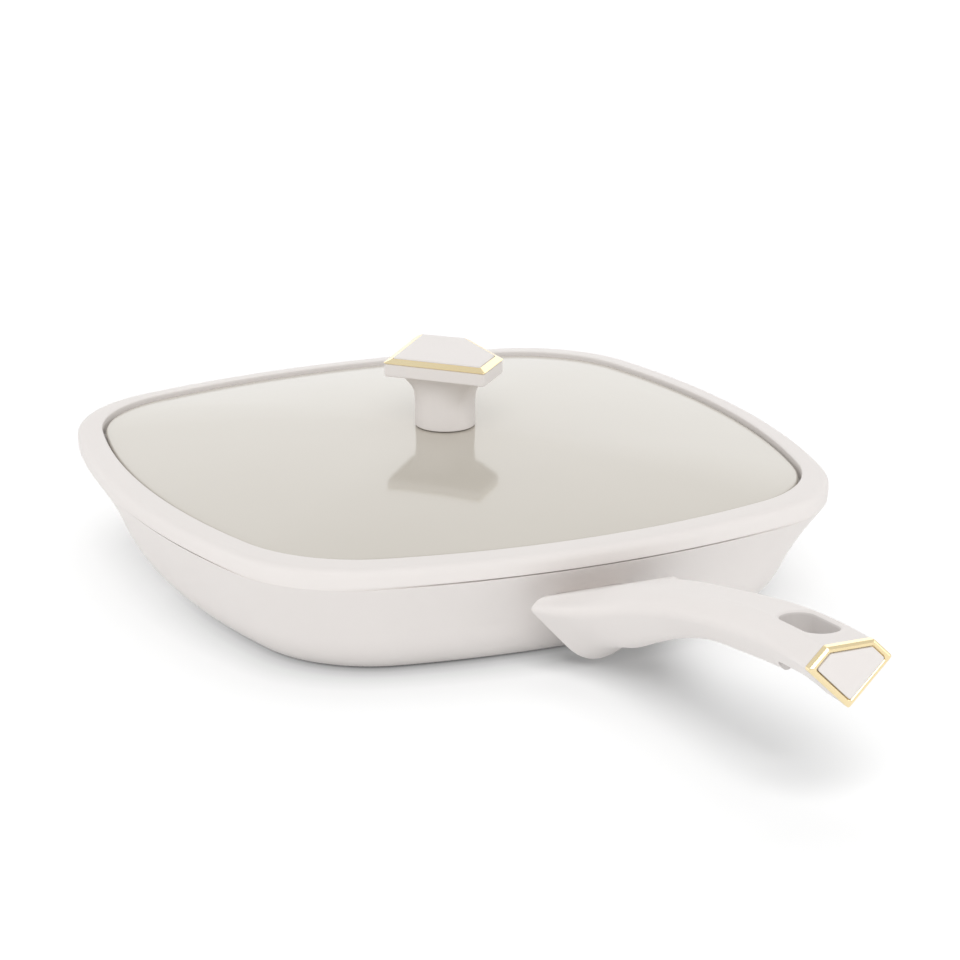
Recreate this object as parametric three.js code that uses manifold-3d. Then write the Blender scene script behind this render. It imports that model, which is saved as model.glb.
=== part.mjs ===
// Square grill pan with a domed lid: a cast body with grilling ribs, a bolted handle with a
// gem-shaped end, and a lid that lifts off by a gem-topped knob.
// Millimetres, +Z up, +X along the handle. The origin is the middle of the base, on the table.
import * as THREE from "three";
import { mergeVertices } from "three/addons/utils/BufferGeometryUtils.js";
import Module from "manifold-3d";

const wasm = await Module();
wasm.setup();

// Pan body
const panHalfWidth = 136.5; // middle of a rim side to the centre line
const panHeight = 49; // inner edge of the rim above the table
const rimSideRadius = 337; // how much the rim's sides bow out
const rimCornerRadius = 57;
const rimWidth = 9.5; // top of the rim, outer edge to lid opening
const rimFall = 1; // how far the rim's top falls towards its outer edge
const openingSideRadius = 307; // outline of the lid opening
const openingCornerRadius = 53;
const rimRound = 3.2; // rounding of the rim's outer edge
const rimEdgeBreak = 0.8; // small rounding of the rim's inner edge
const bandHeight = 7.2; // upright band below the rim's outer edge
const bandTaper = 0.6; // how far the band leans in at its foot
const lipUndercut = 0.8; // step under the band in the middle of a side, none at the corners
const lipRise = 0.6; // height of the sloping underside of the lip
const baseHalfWidth = 115.6; // where the wall would meet the table if it ran on
const baseSideRadius = 316;
const baseCornerRadius = 50.5;
const baseFilletRun = 8; // rounding between wall and base, across
const baseFilletRise = 17; // and up
const baseGap = 0.4; // the casting stands this far off the table, on its steel plate
const wallHollow = 2.3; // how far the wall hollows in between lip and base
const floorThickness = 5;
const floorFilletRun = 15; // inside rounding between floor and wall, across
const floorFilletRise = 13; // and up
const cavityDraft = 6; // how far the inner wall leans in between ledge and floor

// Grilling ribs cast into the floor
const ribPitch = 14;
const ribCount = 13;
const ribHeight = 4.5;
const ribFootWidth = 6;
const ribTopWidth = 3.4;
const ribEndMargin = 9; // from a rib's end to the inside rounding of the floor
const ribShoulderShare = 0.82; // height of a rib's broken top edges
const ribCrownShare = 0.6; // width of a rib's flat crown
const ribTailShare = 0.1; // height left at a rib's sloping ends
const castSink = 0.6; // how far cast-on features reach into the body

// Steel plate for induction hobs, pressed into the base
const plateRadius = 95;
const plateThickness = 1.6;

// Lid
const lidGap = 1.4; // between lid edge and rim
const lidThickness = 4;
const lidDrop = 1.5; // lid edge below the rim's top
const lidRise = 10.5; // middle of the lid above its edge
const lidEdgeRound = 1.2;
const ledgeWidth = 4; // the lid's bearing on the body
const seatGap = 0.3; // between pieces that rest on each other

// Knob
const gemHalfWidth = 31; // widest half of the knob's head, across the lid
const gemFlatHalf = 15.5; // half of the straight edge
const gemFlatReach = 15.5; // from the widest line to the straight edge
const gemTipReach = 29; // from the widest line to the tip
const gemOffset = 2.5; // widest line off the knob's axis
const gemCornerRound = 0.8;
const knobHeight = 30.5; // top of the inlay above the lid
const neckRadius = 12;
const neckStraight = 8; // height of the plain neck
const neckEdgeBreak = 0.6;
const flareInset = 5; // from the head's edge to where the neck's flare meets it
const flareBend = 5.2; // the flare's bend below the head
const headThickness = 5.6; // slab under the metal frame
const headEdgeBreak = 0.5;
const frameHeight = 1.9; // metal frame
const frameWidth = 2.6;
const inlayProud = 0.3; // inlay above its frame
const inlayGap = 0.3; // groove round the inlay
const inlayEdgeBreak = 0.3;
const frameProud = 0.3; // frame outside the head's skin
const frameBevelRun = 2.2; // sloping face of the knob's frame, across
const frameBevelDrop = 1.1; // and down
const frameFoot = 0.4; // small chamfer at a frame's foot
const frameSeat = 0.1; // glue line under a metal frame

// Knob fixing
const screwRadius = 2.5;
const screwLength = 15; // below the head
const screwHeadRadius = 5;
const screwHeadHeight = 3;
const screwClearance = 0.3;
const lidHoleRadius = 5;
const insertRadius = 4.2;
const insertLength = 11;
const washerRadius = 8;
const washerThickness = 1.2;
const gasketThickness = 1.2;
const gasketRadius = 8.5;
const socketRadius = 1.8; // drive socket in a screw head
const socketDepth = 1;
const headChamfer = 0.8; // on a screw head

// Handle
const flangeStandOff = 6.5; // pan end of the handle, out from the rim's side
const handleLength = 170; // from there to the back of the metal frame on its end
const flangeFace = panHalfWidth + flangeStandOff;
const handleEnd = flangeFace + handleLength;
const endWidestHeight = 62.8; // widest line of the end above the table
const endFlatHalf = 8.8;
const endHalfWidth = 15.8;
const endFlatRise = 6.8;
const endKeelDrop = 15.6;
const endRound = 1.2; // edges of the end
const endFrameDepth = 3.4; // metal frame along the handle
const endFrameProud = 0.2; // frame outside the handle's skin
const endFrameWidth = 2;
const endFrameBevel = 0.8;
const endInlayThickness = 1.6;
const gripRound = 10; // fullest rounding of the grip's edges
const flangeHalfWidth = 32.5;
const flangeFlatHalf = 28.5;
const flangeWidestHeight = 30.5;
const flangeFlatRise = 4.3;
const flangeKeelDrop = 35;
const flangeRound = 4;
const flangeKeelRound = 24;
const flangeLean = 8; // how far the flange's foot leans in with the wall
const flangeLeanRun = 22; // where that lean has died out along the handle
const flangeEdgeBreak = 0.8;
const flangeLand = 3.5; // margin of the flange's face, kept flat
const slotFromEnd = 24; // middle of the hanging slot, back from the handle's end
const slotMiddle = handleEnd - slotFromEnd;
const slotHalfLength = 13.8;
const slotHalfWidth = 6.3;

// Handle fixing: a cast bracket on the wall and a long bolt through the handle
const bracketDepth = 7; // how far the bracket reaches into the handle's mouth
const bracketHalfWidth = 17;
const bracketFlatHalf = 13;
const bracketWidestHeight = 26;
const bracketFlatRise = 3;
const bracketKeelDrop = 14;
const bracketRound = 4;
const bracketKeelRound = 10.4;
const bracketClearance = 0.4;
const boltRadius = 2.2;
const boltClearance = 0.3;
const boltHeadRadius = 4;
const boltHeadHeight = 3;
const boltTipHeight = 23.5; // bolt axis above the table at the bracket's face
const boltHeadLevel = 60.5; // and at the slot
const boltEngagement = 14; // thread inside the bracket
const boltHeadCover = 4; // from the slot's wall to the sunk head
const boltWasherRadius = 4.6;
const boltWasherThickness = 1;

const roundSteps = 24; // sides of small round pieces
const sideSteps = 5; // facets in half a side of the pan's outline
const cornerSteps = 12; // and round a corner
const plateSteps = 48; // sides of the steel plate
const handleCornerSteps = 5; // facets round an edge of the handle

const finishes = {
  ivory: { color: 0xe8e3df, roughness: 0.5, metalness: 0 },
  ivorySatin: { color: 0xe9e4e0, roughness: 0.4, metalness: 0 },
  lidGlass: { color: 0xc9c3ba, roughness: 0.14, metalness: 0 },
  gold: { color: 0xe8cf94, roughness: 0.2, metalness: 1 },
  steel: { color: 0xb9bbbd, roughness: 0.35, metalness: 1 },
  brass: { color: 0xc9a95c, roughness: 0.35, metalness: 1 },
  silicone: { color: 0xd8d3cc, roughness: 0.8, metalness: 0 },
};

// Shared geometry helpers

// A closed outline of bowed sides and round corners, as points from +X round by +Y.
function outline(half, sideRadius, cornerRadius) {
  const sideCentre = half - sideRadius;
  const reach = sideRadius - cornerRadius;
  const corner = (sideCentre + Math.sqrt(2 * reach * reach - sideCentre * sideCentre)) / 2;
  const turn = Math.atan2(corner, corner - sideCentre);
  const quarter = [];
  for (let i = 0; i < sideSteps; i++) {
    const angle = (turn * i) / sideSteps;
    quarter.push([sideCentre + sideRadius * Math.cos(angle), sideRadius * Math.sin(angle)]);
  }
  for (let i = 0; i <= cornerSteps; i++) {
    const angle = turn + ((Math.PI / 2 - 2 * turn) * i) / cornerSteps;
    quarter.push([corner + cornerRadius * Math.cos(angle), corner + cornerRadius * Math.sin(angle)]);
  }
  for (let i = sideSteps - 1; i > 0; i--) {
    const angle = (turn * i) / sideSteps;
    quarter.push([sideRadius * Math.sin(angle), sideCentre + sideRadius * Math.cos(angle)]);
  }
  const points = [];
  for (let turnIndex = 0; turnIndex < 4; turnIndex++) {
    for (const [x, y] of quarter) {
      points.push(new THREE.Vector2(x, y).rotateAround(new THREE.Vector2(), (turnIndex * Math.PI) / 2));
    }
  }
  return points;
}

const atHeight = (points, z) => points.map((p) => new THREE.Vector3(p.x, p.y, z));

// Moves a ring towards its middle by an amount that may depend on the direction.
function drawnIn(ring, inset) {
  return ring.map((p) => {
    const radius = Math.hypot(p.x, p.y);
    const amount = typeof inset === "function" ? inset(Math.atan2(p.y, p.x)) : inset;
    const scale = (radius - amount) / radius;
    return new THREE.Vector3(p.x * scale, p.y * scale, p.z);
  });
}

const between = (a, b, t) => a.map((p, i) => p.clone().lerp(b[i], t));

const raised = (ring, dz) => ring.map((p) => new THREE.Vector3(p.x, p.y, p.z + dz));

// Rings along a quadratic curve from ring a to ring c, pulled towards ring b.
function eased(a, b, c, steps) {
  const rings = [];
  for (let i = 1; i <= steps; i++) {
    const t = i / steps;
    rings.push(between(between(a, b, t), between(b, c, t), t));
  }
  return rings;
}

// A closed skin over a stack of rings with as many points each; both ends are closed by a fan.
function loft(rings) {
  const count = rings[0].length;
  const positions = rings.flat().flatMap((p) => [p.x, p.y, p.z]);
  const middle = (ring) => ring.reduce((sum, p) => sum.add(p), new THREE.Vector3()).divideScalar(count);
  const first = middle(rings[0]);
  const last = middle(rings[rings.length - 1]);
  const firstIndex = rings.length * count;
  positions.push(first.x, first.y, first.z, last.x, last.y, last.z);
  const index = [];
  for (let r = 0; r + 1 < rings.length; r++) {
    for (let i = 0; i < count; i++) {
      const a = r * count + i;
      const b = r * count + ((i + 1) % count);
      index.push(a, b, b + count, a, b + count, a + count);
    }
  }
  const lastRing = (rings.length - 1) * count;
  for (let i = 0; i < count; i++) {
    const next = (i + 1) % count;
    index.push(firstIndex, next, i);
    index.push(firstIndex + 1, lastRing + i, lastRing + next);
  }
  const geometry = new THREE.BufferGeometry();
  geometry.setAttribute("position", new THREE.Float32BufferAttribute(positions, 3));
  geometry.setIndex(index);
  return geometry;
}

function toSolid(geometry) {
  const bare = new THREE.BufferGeometry().setAttribute("position", geometry.getAttribute("position").clone());
  if (geometry.index) bare.setIndex(geometry.index.clone());
  const merged = mergeVertices(bare, 1e-4);
  return new wasm.Manifold(
    new wasm.Mesh({
      numProp: 3,
      vertProperties: new Float32Array(merged.attributes.position.array),
      triVerts: new Uint32Array(merged.index.array),
    }),
  );
}

function fromSolid(solid) {
  const mesh = solid.getMesh();
  const geometry = new THREE.BufferGeometry();
  geometry.setAttribute("position", new THREE.Float32BufferAttribute(mesh.vertProperties, 3));
  geometry.setIndex(new THREE.Uint32BufferAttribute(mesh.triVerts, 1));
  return geometry;
}

const cut = (geometry, ...tools) =>
  fromSolid(tools.reduce((solid, tool) => solid.subtract(toSolid(tool)), toSolid(geometry)));

const join = (geometry, ...others) =>
  fromSolid(others.reduce((solid, other) => solid.add(toSolid(other)), toSolid(geometry)));

// A solid of revolution about Z from [radius, height] corners that start and end on the axis.
function turned(profile, steps = roundSteps) {
  return new THREE.LatheGeometry(
    profile.map(([r, z]) => new THREE.Vector2(r, z)),
    steps,
  ).rotateX(Math.PI / 2);
}

// A ring of revolution about Z with a rectangular section.
function washer(inner, outer, bottom, top) {
  return turned([
    [inner, bottom],
    [outer, bottom],
    [outer, top],
    [inner, top],
    [inner, bottom],
  ]);
}

function rod(radius, bottom, top, steps = roundSteps) {
  const profile = [
    [0, bottom],
    [radius, bottom],
    [radius, top],
    [0, top],
  ];
  return turned(profile, steps);
}

// A gem: straight edge, two short shoulders and two long edges that meet in a tip.
// Corners are listed as [across, along], the tip pointing down the second axis.
function gemCorners(halfWidth, flatHalf, flatReach, tipReach) {
  return [
    [halfWidth, 0],
    [flatHalf, flatReach],
    [-flatHalf, flatReach],
    [-halfWidth, 0],
    [0, -tipReach],
  ].map(([x, y]) => new THREE.Vector2(x, y));
}

// The gem's corners moved in square to its edges by the same amount all round.
function insetCorners(corners, amount) {
  const count = corners.length;
  return corners.map((corner, i) => {
    const before = corner.clone().sub(corners[(i + count - 1) % count]).normalize();
    const after = corners[(i + 1) % count].clone().sub(corner).normalize();
    const inward = new THREE.Vector2(-before.y - after.y, before.x + after.x).normalize();
    const halfTurn = Math.sqrt((1 + before.dot(after)) / 2);
    return corner.clone().addScaledVector(inward, amount / halfTurn);
  });
}

// Rounds every corner of a convex outline with the same number of points on each, and puts
// further points along the edges. The radius may be one value or one for each corner.
function rounded(corners, radius, steps, edgeSteps = 1) {
  const count = corners.length;
  const arcs = corners.map((corner, i) => {
    const back = corners[(i + count - 1) % count].clone().sub(corner);
    const ahead = corners[(i + 1) % count].clone().sub(corner);
    const halfAngle = Math.acos(back.dot(ahead) / (back.length() * ahead.length())) / 2;
    const wanted = (typeof radius === "number" ? radius : radius[i]) / Math.tan(halfAngle);
    const run = Math.min(wanted, 0.45 * back.length(), 0.45 * ahead.length());
    const start = corner.clone().addScaledVector(back.normalize(), run);
    const end = corner.clone().addScaledVector(ahead.normalize(), run);
    const arc = [];
    for (let k = 0; k <= steps; k++) {
      const t = k / steps;
      const a = start.clone().lerp(corner, t);
      arc.push(a.lerp(corner.clone().lerp(end, t), t));
    }
    return arc;
  });
  return arcs.flatMap((arc, i) => {
    const edge = [];
    for (let k = 1; k < edgeSteps; k++) {
      edge.push(arc[steps].clone().lerp(arcs[(i + 1) % count][0], k / edgeSteps));
    }
    return [...arc, ...edge];
  });
}

function extrudedPrism(points, bottom, top) {
  return loft([atHeight(points, bottom), atHeight(points, top)]);
}

const material = (finish) => new THREE.MeshStandardMaterial(finishes[finish]);

function piece(name, geometry, finish) {
  const mesh = new THREE.Mesh(geometry, material(finish));
  mesh.name = name;
  return mesh;
}

// Levels and outlines that neighbouring pieces share

const lidOpening = outline(panHalfWidth - rimWidth, openingSideRadius, openingCornerRadius);
const lidEdgeTop = panHeight - lidDrop;
const ledgeLevel = lidEdgeTop - lidThickness - seatGap;
const lidMiddleTop = lidEdgeTop + lidRise;
const lidMiddleUnder = lidMiddleTop - lidThickness;
const floorLevel = baseGap + floorThickness;
const plateTop = plateThickness;

// Strength of the lip round the pan: full in the middle of a side, none at a corner.
const lipStrength = (angle) => Math.cos(2 * angle) ** 2;

// The outside of the cast body, from the flat of the base out and up to the rim's outer edge.
function panOutside() {
  const rimOuter = outline(panHalfWidth, rimSideRadius, rimCornerRadius);
  const rimEdge = atHeight(rimOuter, panHeight - rimFall);
  const bandFoot = drawnIn(raised(rimEdge, -bandHeight), bandTaper);
  const wallTop = drawnIn(raised(bandFoot, -lipRise), (angle) => lipUndercut * lipStrength(angle));
  const baseOuter = outline(baseHalfWidth, baseSideRadius, baseCornerRadius);
  const baseSharp = atHeight(baseOuter, baseGap);
  const baseFlat = drawnIn(baseSharp, baseFilletRun);
  const wallFootShare = (baseFilletRise - baseGap) / (wallTop[0].z - baseGap);
  const wallAt = (share) =>
    drawnIn(between(baseSharp, wallTop, share), wallHollow * Math.sin(Math.PI * share));

  const wallSteps = 4;
  const rings = [baseFlat, ...eased(baseFlat, baseSharp, wallAt(wallFootShare), 5)];
  for (let i = 1; i <= wallSteps; i++) {
    rings.push(wallAt(wallFootShare + ((1 - wallFootShare) * i) / wallSteps));
  }
  const bandHead = between(bandFoot, rimEdge, 1 - rimRound / bandHeight);
  const rimHead = raised(drawnIn(rimEdge, rimRound), (rimFall * rimRound) / rimWidth);
  rings.push(bandFoot, bandHead, ...eased(bandHead, rimEdge, rimHead, 4));
  return rings;
}

// Pan body: one cast shell, over the rim, down to the lid's ledge and in to the floor
function panShell() {
  const outside = panOutside();
  const opening = atHeight(lidOpening, panHeight);
  const ledgeOuter = raised(opening, ledgeLevel - panHeight);
  const ledgeInner = drawnIn(ledgeOuter, ledgeWidth + lidGap);
  const cavityEdge = raised(drawnIn(ledgeInner, rimEdgeBreak), -rimEdgeBreak);
  const cavityFoot = raised(drawnIn(cavityEdge, cavityDraft), floorLevel - cavityEdge[0].z);
  const cavityFootShare = floorFilletRise / (cavityEdge[0].z - floorLevel);
  const cavityWallFoot = between(cavityFoot, cavityEdge, cavityFootShare);
  const floorEdge = drawnIn(cavityFoot, floorFilletRun);
  const baseMiddle = outside[0].map(() => new THREE.Vector3(0, 0, baseGap));
  const rings = [
    between(outside[0], baseMiddle, 0.5),
    ...outside,
    drawnIn(opening, -rimEdgeBreak),
    raised(opening, -rimEdgeBreak),
    ledgeOuter,
    ledgeInner,
    cavityEdge,
    between(cavityEdge, cavityWallFoot, 0.5),
    cavityWallFoot,
    ...eased(cavityWallFoot, cavityFoot, floorEdge, 4),
  ];
  return { shell: loft(rings), floorEdge };
}

// One rib, trapezoidal with its top edges broken, lying along X at the given place across the floor.
function rib(across, halfLength) {
  const footHalf = ribFootWidth / 2;
  const topHalf = ribTopWidth / 2;
  const crownHalf = topHalf * ribCrownShare;
  const shoulder = ribHeight * ribShoulderShare;
  const section = [
    [-footHalf, -castSink],
    [footHalf, -castSink],
    [topHalf, shoulder],
    [crownHalf, ribHeight],
    [-crownHalf, ribHeight],
    [-topHalf, shoulder],
  ];
  const ringAt = (x, shrink) =>
    section.map(([y, z]) => new THREE.Vector3(x, across + y, floorLevel + (z > 0 ? z * shrink : z)));
  const slopeRun = ribHeight;
  return loft([
    ringAt(-halfLength, ribTailShare),
    ringAt(-halfLength + slopeRun, 1),
    ringAt(halfLength - slopeRun, 1),
    ringAt(halfLength, ribTailShare),
  ]);
}

// Half the width of a ring along X at a given place across it.
function halfLengthAt(ring, across) {
  let best = 0;
  ring.forEach((p, i) => {
    const q = ring[(i + 1) % ring.length];
    if ((p.y - across) * (q.y - across) <= 0 && p.y !== q.y) {
      const x = p.x + ((q.x - p.x) * (across - p.y)) / (q.y - p.y);
      best = Math.max(best, x);
    }
  });
  return best;
}

// A block along the handle with the bracket's gem section, grown all round by a given amount.
function bracketBlock(grow, startX, endX) {
  const corners = gemCorners(bracketHalfWidth, bracketFlatHalf, bracketFlatRise, bracketKeelDrop);
  const keelRound = bracketKeelRound + grow;
  const rounds = [bracketRound, bracketRound, bracketRound, bracketRound, keelRound];
  const section = rounded(insetCorners(corners, -grow), rounds, handleCornerSteps);
  const ringAt = (x) => section.map((p) => new THREE.Vector3(x, p.x, bracketWidestHeight + p.y));
  return loft([ringAt(startX), ringAt(endX)]);
}

// The bracket that carries the handle, shaped to the wall on one side and filling the handle's mouth.
function handleBracket() {
  const wall = loft(panOutside().map((ring) => drawnIn(ring, -seatGap)));
  const block = bracketBlock(0, baseHalfWidth - baseFilletRun, bracketFace);
  const boltBore = alongBolt(rod(boltRadius + boltClearance, -boltEngagement - boltRadius, boltLength));
  return cut(block, wall, boltBore);
}

// The hollow in the flange that takes the bracket.
function handleMouth() {
  return bracketBlock(bracketClearance, flangeFace - bracketDepth, bracketFace + bracketClearance);
}

// The bolt's axis in the plane of symmetry, from the slot down to the bracket.
const bracketFace = flangeFace + bracketDepth;
const slotWall = slotMiddle - slotHalfLength;
const boltStart = new THREE.Vector3(slotWall, 0, boltHeadLevel);
const boltFace = new THREE.Vector3(bracketFace, 0, boltTipHeight);
const boltLength = boltStart.distanceTo(boltFace);
const boltLean = Math.atan2(boltStart.z - boltFace.z, boltStart.x - boltFace.x);

// Places a shape built along +Z so that its zero lies at the bracket's face and +Z runs up the bolt.
function alongBolt(geometry) {
  const turn = new THREE.Matrix4().makeRotationY(Math.PI / 2 - boltLean);
  return geometry.clone().applyMatrix4(turn).translate(boltFace.x, boltFace.y, boltFace.z);
}

function panBody() {
  const { shell, floorEdge } = panShell();
  const ribField = drawnIn(floorEdge, ribEndMargin);
  const ribs = [];
  for (let i = 0; i < ribCount; i++) {
    const across = (i - (ribCount - 1) / 2) * ribPitch;
    ribs.push(rib(across, halfLengthAt(ribField, Math.abs(across) + ribFootWidth / 2)));
  }
  const plateSeat = rod(plateRadius + seatGap, -castSink, plateTop + seatGap, plateSteps);
  return cut(join(shell, ...ribs), plateSeat);
}

function inductionPlate() {
  return rod(plateRadius, 0, plateTop, plateSteps);
}

// Lid: a dome whose contour lines keep the outline of the rim
function lidPlate() {
  const edge = drawnIn(atHeight(lidOpening, lidEdgeTop), lidGap);
  const domeHeight = (share) => lidRise * (1 - share * share);
  const domeRing = (share, level) =>
    edge.map((p) => new THREE.Vector3(p.x * share, p.y * share, level + domeHeight(share)));
  const under = lidEdgeTop - lidThickness;
  const edgeShare = 1 - lidEdgeRound / (panHalfWidth - rimWidth);
  const shares = [0.12, 0.35, 0.55, 0.72, 0.87];
  const rings = shares.map((share) => domeRing(share, under));
  rings.push(domeRing(edgeShare, under));
  rings.push(raised(edge, lidEdgeRound - lidThickness), raised(edge, -lidEdgeRound));
  rings.push(domeRing(edgeShare, lidEdgeTop));
  rings.push(...shares.toReversed().map((share) => domeRing(share, lidEdgeTop)));
  return cut(loft(rings), rod(lidHoleRadius, 0, lidMiddleTop * 2));
}

// Knob: a round neck that opens into a gem-shaped head
const knobSeat = lidMiddleTop + seatGap;
const gasketTop = knobSeat + gasketThickness;
const headTop = lidMiddleTop + knobHeight - inlayProud - frameHeight;
const headBottom = headTop - headThickness;
// The screw comes up through the lid into the knob's insert.
const lowerGasketTop = lidMiddleUnder - seatGap;
const washerTop = lowerGasketTop - gasketThickness - seatGap;
const screwHeadTop = washerTop - washerThickness - seatGap;
const screwTop = screwHeadTop + screwLength;
const insertTop = gasketTop + seatGap + insertLength;

const gem = gemCorners(gemHalfWidth, gemFlatHalf, gemFlatReach, gemTipReach).map((p) =>
  p.add(new THREE.Vector2(0, gemOffset)),
);
const gemCornerSteps = 2;
const gemEdgeSteps = 8;

function gemRing(inset, z) {
  return atHeight(rounded(insetCorners(gem, inset), gemCornerRound, gemCornerSteps, gemEdgeSteps), z);
}

// The neck's circle, with its points matched by direction to the gem's.
function neckRing(radius, z) {
  return gemRing(0, z).map((p) => {
    const angle = Math.atan2(p.y - gemOffset / 2, p.x);
    return new THREE.Vector3(radius * Math.cos(angle), radius * Math.sin(angle), z);
  });
}

function knobBody() {
  const flareFoot = neckRing(neckRadius, knobSeat + neckStraight);
  const flareTurn = neckRing(neckRadius, headBottom - flareBend);
  const flareHead = gemRing(flareInset, headBottom);
  const rings = [
    neckRing(neckRadius - neckEdgeBreak, knobSeat),
    neckRing(neckRadius, knobSeat + neckEdgeBreak),
    flareFoot,
    ...eased(flareFoot, flareTurn, flareHead, 6),
    gemRing(headEdgeBreak, headBottom + headEdgeBreak),
    gemRing(0, headBottom + 2 * headEdgeBreak),
    gemRing(0, headTop),
  ];
  const gasketSeat = rod(gasketRadius + seatGap, knobSeat - gasketThickness, gasketTop + seatGap);
  const insertSeat = rod(insertRadius + seatGap, gasketTop, insertTop + seatGap);
  const screwPocket = rod(screwRadius + screwClearance, gasketTop, screwTop + seatGap);
  return cut(loft(rings), gasketSeat, insertSeat, screwPocket);
}

function knobFrame() {
  const bottom = headTop + frameSeat;
  const top = headTop + frameHeight;
  const outer = [
    gemRing(frameFoot - frameProud, bottom),
    gemRing(-frameProud, bottom + frameFoot),
    gemRing(-frameProud, top - frameBevelDrop),
    gemRing(frameBevelRun - frameProud, top),
  ];
  const hole = loft([gemRing(frameWidth, bottom - frameHeight), gemRing(frameWidth, top + frameHeight)]);
  return cut(loft(outer), hole);
}

function knobInlay() {
  const top = headTop + frameHeight + inlayProud;
  const inset = frameWidth + inlayGap;
  return loft([
    gemRing(inset, headTop + frameSeat),
    gemRing(inset, top - inlayEdgeBreak),
    gemRing(inset + inlayEdgeBreak, top),
  ]);
}

function knobInsert() {
  return washer(screwRadius + screwClearance, insertRadius, insertTop - insertLength, insertTop);
}

function knobScrew() {
  const head = screwHeadTop - screwHeadHeight;
  return turned([
    [0, head + socketDepth],
    [socketRadius, head + socketDepth],
    [socketRadius, head],
    [screwHeadRadius - headChamfer, head],
    [screwHeadRadius, head + headChamfer],
    [screwHeadRadius, screwHeadTop],
    [screwRadius, screwHeadTop],
    [screwRadius, screwTop],
    [0, screwTop],
  ]);
}

const upperGasket = () => washer(lidHoleRadius, gasketRadius, gasketTop - gasketThickness, gasketTop);
const lowerGasket = () =>
  washer(lidHoleRadius, gasketRadius, lowerGasketTop - gasketThickness, lowerGasketTop);
const screwWasher = () =>
  washer(screwRadius + screwClearance, washerRadius, washerTop - washerThickness, washerTop);

// Handle: gem sections along a rising line, wide at the pan and faceted at the end.
// Each lies at a share of the way from flange to end, and its sizes are shares of the end's.
const gripSections = [
  { along: 0.047, climb: 0.0464, rise: 0.824, drop: 1.571, half: 1.867, flat: 2.045, round: 0.8, keel: 0.667 },
  { along: 0.094, climb: 0.1176, rise: 0.912, drop: 1.474, half: 1.646, flat: 1.364, round: 1, keel: 0.625 },
  { along: 0.153, climb: 0.2074, rise: 1.088, drop: 1.442, half: 1.392, flat: 1.136, round: 1, keel: 0.542 },
  { along: 0.229, climb: 0.3251, rise: 1.147, drop: 1.25, half: 1.139, flat: 1.091, round: 0.9, keel: 0.417 },
  { along: 0.335, climb: 0.4799, rise: 1.118, drop: 0.974, half: 0.981, flat: 1.045, round: 0.8, keel: 0.292 },
  { along: 0.465, climb: 0.6409, rise: 1.059, drop: 0.808, half: 0.911, flat: 0.977, round: 0.7, keel: 0.208 },
  { along: 0.606, climb: 0.7957, rise: 1.029, drop: 0.897, half: 0.899, flat: 0.943, round: 0.6, keel: 0.167 },
  { along: 0.759, climb: 0.9257, rise: 1.015, drop: 0.962, half: 0.937, flat: 0.955, round: 0.45, keel: 0.125 },
  { along: 0.9, climb: 0.9876, rise: 1, drop: 0.987, half: 0.981, flat: 0.989, round: 0.25, keel: 0.083 },
];

const flangeTop = flangeWidestHeight + flangeFlatRise;

const flangeStation = {
  x: flangeFace,
  level: flangeWidestHeight,
  rise: flangeFlatRise,
  drop: flangeKeelDrop,
  half: flangeHalfWidth,
  flat: flangeFlatHalf,
  round: flangeRound,
  keel: flangeKeelRound,
};

const endStation = {
  x: handleEnd,
  level: endWidestHeight,
  rise: endFlatRise,
  drop: endKeelDrop,
  half: endHalfWidth,
  flat: endFlatHalf,
  round: endRound,
  keel: endRound,
};

const gripStations = gripSections.map((section) => ({
  x: flangeFace + (handleEnd - flangeFace) * section.along,
  level: flangeWidestHeight + (endWidestHeight - flangeWidestHeight) * section.climb,
  rise: endFlatRise * section.rise,
  drop: endKeelDrop * section.drop,
  half: endHalfWidth * section.half,
  flat: endFlatHalf * section.flat,
  round: gripRound * section.round,
  keel: flangeKeelRound * section.keel,
}));

// A section of the handle. Near the flange it leans in with the wall, most at its keel.
function handleRing({ x, level, rise, drop, half, flat, round, keel }, inset = 0, shift = 0) {
  const corners = insetCorners(gemCorners(half, flat, rise, drop), inset);
  const section = rounded(corners, [round, round, round, round, keel], handleCornerSteps);
  const fade = Math.max(0, 1 - (x - flangeFace) / flangeLeanRun);
  const lean = (flangeLean * fade) / flangeTop;
  return section.map((p) => {
    const height = level + p.y;
    return new THREE.Vector3(x + shift - lean * (flangeTop - height), p.x, height);
  });
}

function handleGrip() {
  const rings = [
    handleRing(flangeStation, flangeLand),
    handleRing(flangeStation, flangeEdgeBreak),
    handleRing(flangeStation, 0, 2 * flangeEdgeBreak),
    ...gripStations.map((station) => handleRing(station)),
    handleRing(endStation),
  ];
  const slot = [];
  for (let i = 0; i < roundSteps; i++) {
    const angle = (2 * Math.PI * i) / roundSteps;
    const end = Math.cos(angle) >= 0 ? 1 : -1;
    const straight = slotHalfLength - slotHalfWidth;
    slot.push(new THREE.Vector2(
      slotMiddle + end * straight + slotHalfWidth * Math.cos(angle),
      slotHalfWidth * Math.sin(angle),
    ));
  }
  const slotCut = extrudedPrism(slot, 0, 2 * endWidestHeight);
  const mouth = handleMouth();
  const bore = alongBolt(rod(boltRadius + boltClearance, -bracketDepth, boltLength + slotHalfLength));
  const headSeat = boltLength - boltHeadSink;
  const counterbore = alongBolt(rod(boltWasherRadius + boltClearance, headSeat, boltLength + slotHalfWidth));
  return cut(loft(rings), mouth, slotCut, bore, counterbore);
}

// Bolt and washer, with the head sunk into the slot's wall
const boltHeadSink = boltHeadHeight + boltWasherThickness + 2 * seatGap + boltHeadCover;

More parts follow.
